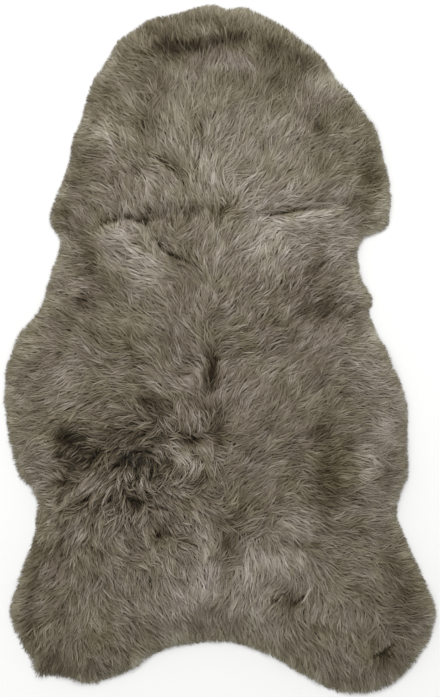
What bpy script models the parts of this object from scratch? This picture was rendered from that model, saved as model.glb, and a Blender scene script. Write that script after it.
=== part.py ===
"""A whole sheepskin rug, 1.00 m long and 0.63 m wide, lying flat with its wool up.

Metres, +Z up. +Y runs along the back towards the head end, and +X is the right-hand side seen
from above. The origin is on the floor under the middle of the rug. The skin is one solid: a
lumpy slab of wool with a flat underside, parted by a few creases, and a rim of separate locks.
"""

import math
import random
from collections import namedtuple

import bmesh
import bpy
import numpy as np
from mathutils import Vector, noise
from mathutils.geometry import delaunay_2d_cdt

# Driving dimensions of the wool
PILE_HEIGHT = 0.044  # the combed wool over the middle of the skin
RIM_HEIGHT = 0.013  # the wool where the rim locks leave it
ROLL_WIDTH = 0.058  # the wool rolls down to the rim over this distance

# The locks round the rim
LOCK_COUNT = 264
LOCK_LENGTH = 0.0125  # an average lock's reach past the rim
LENGTH_SPREAD = 0.30  # lengths vary by this share either way
ROOT_SHARE = 0.62  # the part of the pitch that a root takes; the rest is a gap
ROOT_SPREAD = 0.10  # roots vary by this share either way
ROOT_SHIFT = 0.08  # and slide along the rim by this share of the pitch
FIRST_ROOT = 0.15  # where the first root starts, in pitches
LOCK_STRAY = 0.24  # how far a lock strays sideways, as a slope
WHORL = Vector((-0.015, 0.430))  # the wool lies away from this place, across and along
LockSection = namedtuple("LockSection", "reach lean width height")
LOCK_SECTIONS = (
    LockSection(reach=0.55, lean=0.15, width=0.72, height=0.0082),
    LockSection(reach=1.00, lean=0.42, width=0.17, height=0.0022),
)

# The net that the top surface is stretched over
NET_STEP = 0.0165
NET_JITTER = 0.002
FOLD_STEP = 0.012  # between net points along a fold
BANK_SHARE = 1.1  # how far a fold's banks lie from its middle, in half widths
NET_CLEARANCE = 0.0075  # the least distance between such points and the rim
OUTLINE_STEP = 0.002  # between points of the finely drawn outline

# Unevenness of the wool
Lump = namedtuple("Lump", "across height layer")
LUMPS = (
    Lump(across=0.090, height=0.0075, layer=1.7),
    Lump(across=0.036, height=0.0055, layer=5.2),
)
RIM_LUMP_SHARE = 0.25  # how much of that unevenness is left at the rim

WOOL_COLOUR = (0.165, 0.141, 0.106, 1.0)
WOOL_ROUGHNESS = 0.92
CREASE_ANGLE = math.radians(55)

# Sections across the skin, to the tips of the wool. along is measured from the hind feet, and
# left and right from the middle line.
Section = namedtuple("Section", "name along left right")
SECTIONS = (
    Section("brow", 0.977, 0.104, 0.074),
    Section("upper cheek", 0.961, 0.125, 0.102),
    Section("cheek", 0.945, 0.148, 0.122),
    Section("lower cheek", 0.922, 0.163, 0.148),
    Section("nape", 0.890, 0.183, 0.170),
    Section("upper neck", 0.855, 0.196, 0.200),
    Section("neck", 0.826, 0.205, 0.222),
    Section("lower neck", 0.800, 0.215, 0.231),
    Section("upper shoulder", 0.760, 0.222, 0.241),
    Section("shoulder", 0.722, 0.238, 0.247),
    Section("foreleg", 0.687, 0.248, 0.246),
    Section("behind the foreleg", 0.670, 0.242, 0.237),
    Section("armpit", 0.658, 0.232, 0.208),
    Section("waist", 0.638, 0.235, 0.200),
    Section("lower waist", 0.606, 0.247, 0.203),
    Section("flank tuft", 0.573, 0.257, 0.221),
    Section("ribs", 0.551, 0.266, 0.215),
    Section("upper belly", 0.521, 0.292, 0.229),
    Section("belly", 0.479, 0.309, 0.251),
    Section("mid belly", 0.420, 0.313, 0.271),
    Section("lower belly", 0.369, 0.306, 0.271),
    Section("belly end", 0.320, 0.293, 0.274),
    Section("groin notch", 0.302, 0.278, 0.267),
    Section("groin", 0.282, 0.266, 0.260),
    Section("upper thigh", 0.255, 0.267, 0.256),
    Section("thigh", 0.223, 0.272, 0.270),
    Section("lower thigh", 0.174, 0.289, 0.292),
    Section("hip", 0.122, 0.306, 0.313),
    Section("hock", 0.080, 0.292, 0.304),
    Section("above the hind foot", 0.050, 0.274, 0.285),
)

# Both ends, clockwise seen from above. across is measured from the middle line.
EndPoint = namedtuple("EndPoint", "name across along")
HEAD_END = (
    EndPoint("left of the crown", -0.058, 0.987),
    EndPoint("crown", -0.013, 1.000),
    EndPoint("crown dip", 0.009, 0.992),
    EndPoint("right of the crown", 0.034, 0.996),
)
TAIL_END = (
    EndPoint("right foot, outer side", 0.262, 0.024),
    EndPoint("right foot", 0.235, 0.006),
    EndPoint("right foot, tip", 0.190, 0.000),
    EndPoint("right foot, inner side", 0.146, 0.012),
    EndPoint("right buttock", 0.110, 0.031),
    EndPoint("right of the tail", 0.062, 0.059),
    EndPoint("tail", 0.006, 0.074),
    EndPoint("left of the tail", -0.048, 0.070),
    EndPoint("left buttock", -0.091, 0.059),
    EndPoint("left foot, inner side", -0.132, 0.031),
    EndPoint("left foot, tip", -0.190, 0.014),
    EndPoint("left foot", -0.236, 0.026),
    EndPoint("left tuft", -0.266, 0.027),
)

# Creases where the wool parts or dips. A route runs across and along as the sections do.
Fold = namedtuple("Fold", "name half_width depth route")
FOLDS = (
    Fold("behind the brow", 0.012, 0.016, (
        (-0.102, 0.931), (-0.076, 0.938), (-0.050, 0.932), (-0.021, 0.938), (0.011, 0.941),
        (0.046, 0.945),
    )),
    Fold("neck, left", 0.008, 0.007, ((-0.179, 0.847), (-0.131, 0.818), (-0.120, 0.802))),
    Fold("neck, right", 0.007, 0.007, ((0.116, 0.872), (0.120, 0.858), (0.125, 0.845))),
    Fold("nape parting", 0.007, 0.008, ((-0.088, 0.774), (-0.062, 0.757), (-0.054, 0.742))),
    Fold("left shoulder crease", 0.009, 0.014, (
        (-0.184, 0.679), (-0.145, 0.690), (-0.106, 0.684), (-0.080, 0.695), (-0.044, 0.692),
        (-0.008, 0.703), (0.028, 0.712),
    )),
    Fold("right shoulder crease", 0.008, 0.010, (
        (0.060, 0.689), (0.100, 0.696), (0.141, 0.702), (0.180, 0.709), (0.214, 0.712),
    )),
    Fold("below the shoulder", 0.008, 0.008, ((-0.086, 0.658), (-0.078, 0.640), (-0.058, 0.626))),
    Fold("right ribs", 0.008, 0.007, ((0.090, 0.590), (0.086, 0.574), (0.095, 0.556))),
    Fold("spine", 0.010, 0.017, (
        (-0.018, 0.514), (-0.016, 0.478), (-0.018, 0.449), (-0.026, 0.416),
    )),
    Fold("middle curls", 0.009, 0.011, (
        (-0.050, 0.374), (-0.025, 0.384), (-0.004, 0.398), (0.021, 0.386),
    )),
    Fold("left belly hollow", 0.012, 0.013, (
        (-0.236, 0.384), (-0.203, 0.369), (-0.167, 0.359), (-0.131, 0.352),
    )),
    Fold("left groin hollow", 0.010, 0.009, ((-0.234, 0.352), (-0.226, 0.314), (-0.235, 0.292))),
    Fold("left swirl", 0.011, 0.015, (
        (-0.160, 0.337), (-0.134, 0.332), (-0.114, 0.321), (-0.101, 0.308),
    )),
    Fold("crescent in the swirl", 0.009, 0.013, (
        (-0.104, 0.354), (-0.080, 0.345), (-0.064, 0.329),
    )),
    Fold("below the swirl", 0.010, 0.011, (
        (-0.131, 0.294), (-0.116, 0.275), (-0.102, 0.253), (-0.095, 0.230),
    )),
    Fold("left hip hollow", 0.009, 0.010, ((-0.244, 0.232), (-0.221, 0.221), (-0.208, 0.208))),
    Fold("rump hollow", 0.011, 0.012, ((-0.002, 0.216), (0.022, 0.222), (0.046, 0.212))),
    Fold("right flank trough", 0.015, 0.007, (
        (0.141, 0.330), (0.151, 0.282), (0.158, 0.239), (0.180, 0.192),
    )),
    Fold("right rump hollow", 0.010, 0.011, ((0.088, 0.152), (0.114, 0.139), (0.108, 0.116))),
    Fold("right foot parting", 0.009, 0.011, ((0.206, 0.056), (0.236, 0.066), (0.256, 0.084))),
)


def closed_spline(corners, steps=24):
    """A smooth closed line through the corners, as Catmull-Rom arcs."""
    before, after, later = (np.roll(corners, k, axis=0) for k in (1, -1, -2))
    slope = after - before
    bend = 2 * before - 5 * corners + 4 * after - later
    twist = 3 * corners - before - 3 * after + later
    shares = np.linspace(0, 1, steps, endpoint=False)
    arcs = [corners + 0.5 * (slope * t + bend * t**2 + twist * t**3) for t in shares]
    return np.stack(arcs, axis=1).reshape(-1, 2)


def nearest(points, others):
    """The distance from each point to the nearest of the others."""
    return np.array([np.linalg.norm(others - p, axis=1).min() for p in points])


class Line:
    """A line in the plane that can be walked by its length."""

    def __init__(self, points):
        self.points = np.asarray(points)
        self.runs = np.diff(self.points, axis=0)
        self.steps = np.linalg.norm(self.runs, axis=1)
        self.walked = np.concatenate([[0], np.cumsum(self.steps)])
        self.length = self.walked[-1]

    def at(self, places):
        return np.stack([np.interp(places, self.walked, self.points[:, k]) for k in (0, 1)], axis=-1)

    def evenly(self, step):
        return self.at(np.linspace(0, self.length, round(self.length / step), endpoint=False))

    def beside(self, place):
        """How far a place lies from the line, and the share of the line walked to get beside it."""
        aside = place - self.points[:-1]
        shares = np.clip((aside * self.runs).sum(1) / self.steps**2, 0, 1)
        away = np.linalg.norm(aside - shares[:, None] * self.runs, axis=1)
        best = away.argmin()
        return away[best], (self.walked[best] + shares[best] * self.steps[best]) / self.length

    def holds(self, places):
        """Whether each place lies inside this closed line, by counting the edges to its right."""
        x, y = places.T
        inside = np.zeros(len(places), bool)
        for (x0, y0), (x1, y1) in zip(self.points[:-1], self.points[1:]):
            if y0 != y1:
                level = (y0 > y) != (y1 > y)
                inside ^= level & (x < x0 + (y - y0) / (y1 - y0) * (x1 - x0))
        return inside


def closed(points):
    """The line through the points and back to the first."""
    return Line(np.vstack([points, points[:1]]))


def tip_line():
    """The line round the tips of the wool."""
    head = [(point.across, point.along) for point in HEAD_END]
    right = [(row.right, row.along) for row in SECTIONS]
    tail = [(point.across, point.along) for point in TAIL_END]
    left = [(-row.left, row.along) for row in reversed(SECTIONS)]
    return closed(closed_spline(np.array(head + right + tail + left)))


def rim_line(tips):
    """The edge of the slab, a lock's length inside the tips, with no loops in its corners."""
    points = tips.evenly(OUTLINE_STEP)
    ahead = np.roll(points, -3, axis=0) - np.roll(points, 3, axis=0)
    outward = np.stack([-ahead[:, 1], ahead[:, 0]], axis=1)
    outward /= np.linalg.norm(outward, axis=1)[:, None]
    inner = points - LOCK_LENGTH * outward
    settled = nearest(inner, points) > LOCK_LENGTH - OUTLINE_STEP / 2
    return closed(inner[settled])


def root_places(rim, rng):
    """Where each lock's root starts and ends along the rim."""
    pitch = rim.length / LOCK_COUNT
    places = []
    for i in range(LOCK_COUNT):
        start = (i + FIRST_ROOT + rng.uniform(-ROOT_SHIFT, ROOT_SHIFT)) * pitch
        root = ROOT_SHARE * pitch * rng.uniform(1 - ROOT_SPREAD, 1 + ROOT_SPREAD)
        places += [start, start + root]
    return places


def fold_points():
    """Net points down the middle of each fold and along both its banks."""
    points = []
    for fold in FOLDS:
        route = Line(fold.route)
        for place in np.linspace(0, route.length, max(2, round(route.length / FOLD_STEP) + 1)):
            middle = route.at(place)
            run = route.at(place + FOLD_STEP / 2) - route.at(place - FOLD_STEP / 2)
            bank = np.array([-run[1], run[0]]) / np.linalg.norm(run) * fold.half_width * BANK_SHARE
            points += [middle, middle + bank, middle - bank]
    kept = points[:1]
    for point in points[1:]:
        if min(np.linalg.norm(point - other) for other in kept) > NET_CLEARANCE:
            kept.append(point)
    return np.array(kept)


def field_points(rim, rng):
    """Points in staggered rows, a little uneven, over the whole box of the rim."""
    low, high = rim.points.min(0), rim.points.max(0)
    points = []
    for row, y in enumerate(np.arange(low[1], high[1], NET_STEP * math.sqrt(3) / 2)):
        for x in np.arange(low[0] + (row % 2) * NET_STEP / 2, high[0], NET_STEP):
            aside = rng.uniform(-NET_JITTER, NET_JITTER)
            ahead = rng.uniform(-NET_JITTER, NET_JITTER)
            points.append((x + aside, y + ahead))
    return np.array(points)


def net_points(rim, rng):
    """The points inside the rim that carry the top surface, and their distances from it."""
    edge = rim.evenly(OUTLINE_STEP)
    folds = fold_points()
    field = field_points(rim, rng)
    field = field[nearest(field, folds) > NET_CLEARANCE]
    points = np.vstack([folds, field])
    points = points[rim.holds(points)]
    from_rim = nearest(points, edge)
    clear = from_rim > NET_CLEARANCE
    return points[clear], from_rim[clear]


def fold_depth(place):
    """How far the folds lower the wool at this place. Each fades out at both its ends."""
    depth = 0.0
    for fold in FOLDS:
        away, share = Line(fold.route).beside(place)
        faded = fold.depth * (1 - (2 * share - 1) ** 4)
        depth = max(depth, faded * math.exp(-((away / fold.half_width) ** 2)))
    return depth


def wool_height(place, from_rim):
    """The top of the wool: rolled down at the rim, uneven, and lowered in the folds."""
    roll = math.sin(min(1.0, from_rim / ROLL_WIDTH) * math.pi / 2)
    uneven = 0.0
    for lump in LUMPS:
        x, y = place / lump.across
        uneven += lump.height * noise.noise(Vector((x, y, lump.layer)))
    uneven *= RIM_LUMP_SHARE + (1 - RIM_LUMP_SHARE) * roll
    return RIM_HEIGHT + (PILE_HEIGHT - RIM_HEIGHT) * roll + uneven - fold_depth(place) * roll


def add_slab(bm, rim, rng):
    """The slab. Returns the wall faces that are the roots of the locks."""
    ring = rim.at(root_places(rim, rng))
    floor = [bm.verts.new((x, y, 0.0)) for x, y in ring]
    brim = [bm.verts.new((x, y, RIM_HEIGHT)) for x, y in ring]
    bm.faces.new(floor)
    walls = []
    for i in range(len(ring)):
        j = (i + 1) % len(ring)
        walls.append(bm.faces.new((floor[i], brim[i], brim[j], floor[j])))

    points, from_rim = net_points(rim, rng)
    top = list(brim)
    for place, distance in zip(points, from_rim):
        top.append(bm.verts.new((*place, wool_height(place, distance))))
    flat = [Vector(place) for place in np.vstack([ring, points])]
    edges = [(i, (i + 1) % len(ring)) for i in range(len(ring))]
    net = delaunay_2d_cdt(flat, edges, [], 1, 1e-7)
    triangles, sources = net[2], net[3]
    for corners in triangles:
        bm.faces.new([top[sources[i][0]] for i in corners])
    bm.normal_update()
    return walls[0::2]


def shape_section(face, middle, side, half_width, height):
    """Moves a lock's end face to a narrower and lower section that still rests on the floor."""
    centre = sum((v.co.xy for v in face.verts), Vector((0, 0))) / len(face.verts)
    for v in face.verts:
        across = half_width if (v.co.xy - centre).dot(side) > 0 else -half_width
        up = height if v.co.z > 0 else 0.0
        v.co = (middle + across * side).to_3d() + Vector((0, 0, up))


def grow_lock(bm, root, rng):
    """Draws a lock out of its root, thick at first, then bent towards the lie of the wool."""
    foot = root.calc_center_median().xy
    out = root.normal.xy.normalized()
    side = Vector((-out.y, out.x))
    half_root = root.edges[1].calc_length() / 2
    lie = (foot - WHORL).normalized()
    stray = side * rng.uniform(-LOCK_STRAY, LOCK_STRAY)
    length = LOCK_LENGTH * rng.uniform(1 - LENGTH_SPREAD, 1 + LENGTH_SPREAD)
    end = root
    for section in LOCK_SECTIONS:
        way = (out + section.lean * lie + stray).normalized()
        end = bmesh.ops.extrude_discrete_faces(bm, faces=[end])["faces"][0]
        middle = foot + way * length * section.reach
        shape_section(end, middle, side, half_root * section.width, section.height)


def wool_material():
    material = bpy.data.materials.new("taupe wool")
    material.use_nodes = True
    shader = material.node_tree.nodes["Principled BSDF"]
    shader.inputs["Base Color"].default_value = WOOL_COLOUR
    shader.inputs["Roughness"].default_value = WOOL_ROUGHNESS
    shader.inputs["Metallic"].default_value = 0.0
    return material


def centre_on_origin(bm):
    """Puts the middle of the rug's box over the origin, with its underside on the floor."""
    low = [min(v.co[k] for v in bm.verts) for k in (0, 1)]
    high = [max(v.co[k] for v in bm.verts) for k in (0, 1)]
    middle = Vector(((low[0] + high[0]) / 2, (low[1] + high[1]) / 2, 0))
    bmesh.ops.translate(bm, vec=-middle, verts=bm.verts)


def add_sheepskin():
    rng = random.Random(12)
    bm = bmesh.new()
    roots = add_slab(bm, rim_line(tip_line()), rng)
    for root in roots:
        grow_lock(bm, root, rng)
    centre_on_origin(bm)
    bmesh.ops.recalc_face_normals(bm, faces=bm.faces)
    mesh = bpy.data.meshes.new("sheepskin")
    bm.to_mesh(mesh)
    bm.free()
    mesh.shade_smooth()
    mesh.set_sharp_from_angle(angle=CREASE_ANGLE)
    mesh.materials.append(wool_material())
    bpy.context.collection.objects.link(bpy.data.objects.new("sheepskin", mesh))


for thing in list(bpy.data.objects):
    bpy.data.objects.remove(thing)
add_sheepskin()
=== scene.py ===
import math

import bpy
import numpy as np
from mathutils.bvhtree import BVHTree
from mathutils.kdtree import KDTree
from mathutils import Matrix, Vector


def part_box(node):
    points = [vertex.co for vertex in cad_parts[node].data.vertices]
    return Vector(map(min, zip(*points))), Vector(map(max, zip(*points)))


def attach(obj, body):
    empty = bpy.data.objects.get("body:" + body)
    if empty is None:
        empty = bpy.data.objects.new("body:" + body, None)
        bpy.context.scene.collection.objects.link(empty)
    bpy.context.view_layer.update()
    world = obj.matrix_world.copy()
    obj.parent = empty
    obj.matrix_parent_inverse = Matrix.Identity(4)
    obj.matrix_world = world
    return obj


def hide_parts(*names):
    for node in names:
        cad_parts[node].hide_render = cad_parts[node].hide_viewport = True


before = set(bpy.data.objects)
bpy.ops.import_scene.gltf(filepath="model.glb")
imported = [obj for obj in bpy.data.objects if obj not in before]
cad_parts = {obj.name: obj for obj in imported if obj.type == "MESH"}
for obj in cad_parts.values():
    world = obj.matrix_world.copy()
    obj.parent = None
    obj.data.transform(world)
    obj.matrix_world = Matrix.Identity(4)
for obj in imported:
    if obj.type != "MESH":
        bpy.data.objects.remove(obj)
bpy.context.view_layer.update()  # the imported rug, in metres, +Y to the head end
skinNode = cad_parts["sheepskin"]
skinLow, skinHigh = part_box("sheepskin")


def say(words):
    print("sheepskin:", words, flush=True)


# materials: a node's inputs are constants, or the outputs of other nodes
def setInputs(owner, node, inputs):
    for name, value in inputs.items():
        if isinstance(value, bpy.types.NodeSocket):
            owner.node_tree.links.new(value, node.inputs[name])
        else:
            node.inputs[name].default_value = value


def addNode(paint, kind, inputs, **settings):
    node = paint.node_tree.nodes.new(kind)
    for name, value in settings.items():
        setattr(node, name, value)
    setInputs(paint, node, inputs)
    return node.outputs


def addRamp(paint, share, stops):
    node = paint.node_tree.nodes.new("ShaderNodeValToRGB")
    ramp = node.color_ramp
    while len(ramp.elements) < len(stops):
        ramp.elements.new(0.5)
    for element, (at, colour) in zip(ramp.elements, stops):
        element.position = at
        element.color = (*colour, 1)
    paint.node_tree.links.new(share, node.inputs["Fac"])
    return node.outputs["Color"]


def newPaint(name):
    paint = bpy.data.materials.new(name)
    paint.use_nodes = True
    return paint


def coat(paint, inputs):
    setInputs(paint, paint.node_tree.nodes["Principled BSDF"], inputs)


# camera, light and floor
studio = {
    "frameHeight": 1.0086,  # metres of rug from the top of the picture to its bottom
    "pictureCentre": (-0.0007, 0.0014),
    "distance": 3.4,
    "sensor": 24,
    "floorSize": 9,
    "floor": {"Base Color": (0.93, 0.93, 0.92, 1), "Roughness": 0.8},
    "world": {"Color": (1.0, 1.0, 1.0, 1), "Strength": 0.76},
}
lamps = {  # place, target, size in metres and watts
    "headLamp": ((0.1, 1.9, 2.3), (0, 0.1, 0), 1.4, 36),
    "sideLamp": ((-2.2, 0.4, 2.0), (0, 0, 0), 1.8, 10),
}


def addLamp(name, place, target, size, watts):
    lamp = bpy.data.lights.new(name, "AREA")
    lamp.shape, lamp.size, lamp.energy = "DISK", size, watts
    thing = bpy.data.objects.new(name, lamp)
    thing.location = place
    across, back, down = np.subtract(place, target)
    thing.rotation_euler = (math.atan2(math.hypot(across, back), down), 0, math.atan2(across, -back))
    thing.visible_camera = False
    bpy.context.collection.objects.link(thing)


def addCamera():
    lens = bpy.data.cameras.new("camera")
    lens.sensor_fit, lens.sensor_height = "VERTICAL", studio["sensor"]
    lens.lens = studio["sensor"] * studio["distance"] / studio["frameHeight"]
    camera = bpy.data.objects.new("camera", lens)
    camera.location = (*studio["pictureCentre"], studio["distance"])
    bpy.context.collection.objects.link(camera)
    bpy.context.scene.camera = camera


def addFloor():
    bpy.ops.object.select_all(action="DESELECT")
    bpy.ops.mesh.primitive_plane_add(size=studio["floorSize"])
    floor = bpy.context.object
    floor.name = "floor"
    paint = newPaint("pale floor")
    coat(paint, studio["floor"])
    floor.data.materials.append(paint)


def addWorld():
    world = bpy.data.worlds.new("studio")
    world.use_nodes = True
    setInputs(world, world.node_tree.nodes["Background"], studio["world"])
    bpy.context.scene.world = world
    bpy.context.scene.view_settings.view_transform = "Standard"


addWorld()
for name, values in lamps.items():
    addLamp(name, *values)
addCamera()
addFloor()
say("set the camera, lamps and floor")


# the wool's surface, read from the frame on to a level grid
survey = {
    "cell": 0.002,  # metres between samples
    "margin": 0.05,
    "rimHeight": 0.0125,  # the slab is higher than this, its rim locks are lower
    "lockReach": 0.0125,  # the rim locks reach this far past the slab
    "lockLimit": 1.4,  # and the surface goes on falling to this many times that
    "tipHeight": 0.002,
    "lowest": 0.0008,
    "soften": 0.003,  # how far the heights are evened out
}


def bell(away, width):
    return np.exp(-0.5 * (away / width) ** 2)


def blurred(layer, width):
    reach = max(1, round(3 * width / survey["cell"]))
    weights = bell(np.arange(-reach, reach + 1) * survey["cell"], width)
    weights /= weights.sum()
    for axis in (0, 1):
        padding = [(reach, reach) if a == axis else (0, 0) for a in (0, 1)]
        padded = np.pad(layer, padding, mode="edge")
        length = layer.shape[axis]
        layer = sum(w * np.take(padded, range(k, k + length), axis) for k, w in enumerate(weights))
    return layer


def treeOf(places):
    tree = KDTree(len(places))
    for k, (x, y) in enumerate(places):
        tree.insert((x, y, 0), k)
    tree.balance()
    return tree


def heightsUnder(xs, ys):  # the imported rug's top, and 0 beside it
    mesh = skinNode.data
    solid = BVHTree.FromPolygons([v.co for v in mesh.vertices], [p.vertices[:] for p in mesh.polygons])
    tops = np.zeros((len(ys), len(xs)))
    for row, y in enumerate(ys):
        for column, x in enumerate(xs):
            hit = solid.ray_cast((x, y, 1), (0, 0, -1))[0]
            if hit:
                tops[row, column] = hit.z
    return tops


def readSurvey():
    cell, margin = survey["cell"], survey["margin"]
    xs = np.arange(skinLow.x - margin, skinHigh.x + margin, cell)
    ys = np.arange(skinLow.y - margin, skinHigh.y + margin, cell)
    tops = heightsUnder(xs, ys)
    slab = tops > survey["rimHeight"]
    shifted = [np.roll(slab, step, axis) for step in (1, -1) for axis in (0, 1)]
    rows, columns = np.nonzero(slab & ~np.logical_and.reduce(shifted))
    rim = treeOf(list(zip(xs[columns], ys[rows])))
    inward = np.array([[rim.find((x, y, 0))[2] for x in xs] for y in ys])
    inward = blurred(np.where(slab, inward, -inward), survey["soften"])
    past = np.clip(-inward / survey["lockReach"], 0, survey["lockLimit"])
    droop = survey["rimHeight"] + (survey["tipHeight"] - survey["rimHeight"]) * past
    heights = blurred(np.where(slab, tops, np.maximum(droop, survey["lowest"])), survey["soften"])
    return {"x": xs, "y": ys, "inward": inward, "height": heights}


land = readSurvey()
gridX, gridY = np.meshgrid(land["x"], land["y"])
millimetreX, millimetreY = gridX * 1000, gridY * 1000


def sample(layer, places):  # a layer of the grid at these places, evened between its points
    column = np.clip((places[..., 0] - land["x"][0]) / survey["cell"], 0, layer.shape[1] - 1.001)
    row = np.clip((places[..., 1] - land["y"][0]) / survey["cell"], 0, layer.shape[0] - 1.001)
    left, lower = column.astype(int), row.astype(int)
    shareX, shareY = column - left, row - lower
    below = layer[lower, left] * (1 - shareX) + layer[lower, left + 1] * shareX
    above = layer[lower + 1, left] * (1 - shareX) + layer[lower + 1, left + 1] * shareX
    return below * (1 - shareY) + above * shareY


def softNoise(width, seed):  # even noise about 0, about 1 either way
    layer = blurred(np.random.default_rng(seed).standard_normal(gridX.shape), width)
    return layer / layer.std()


say("read the wool's surface")


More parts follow.
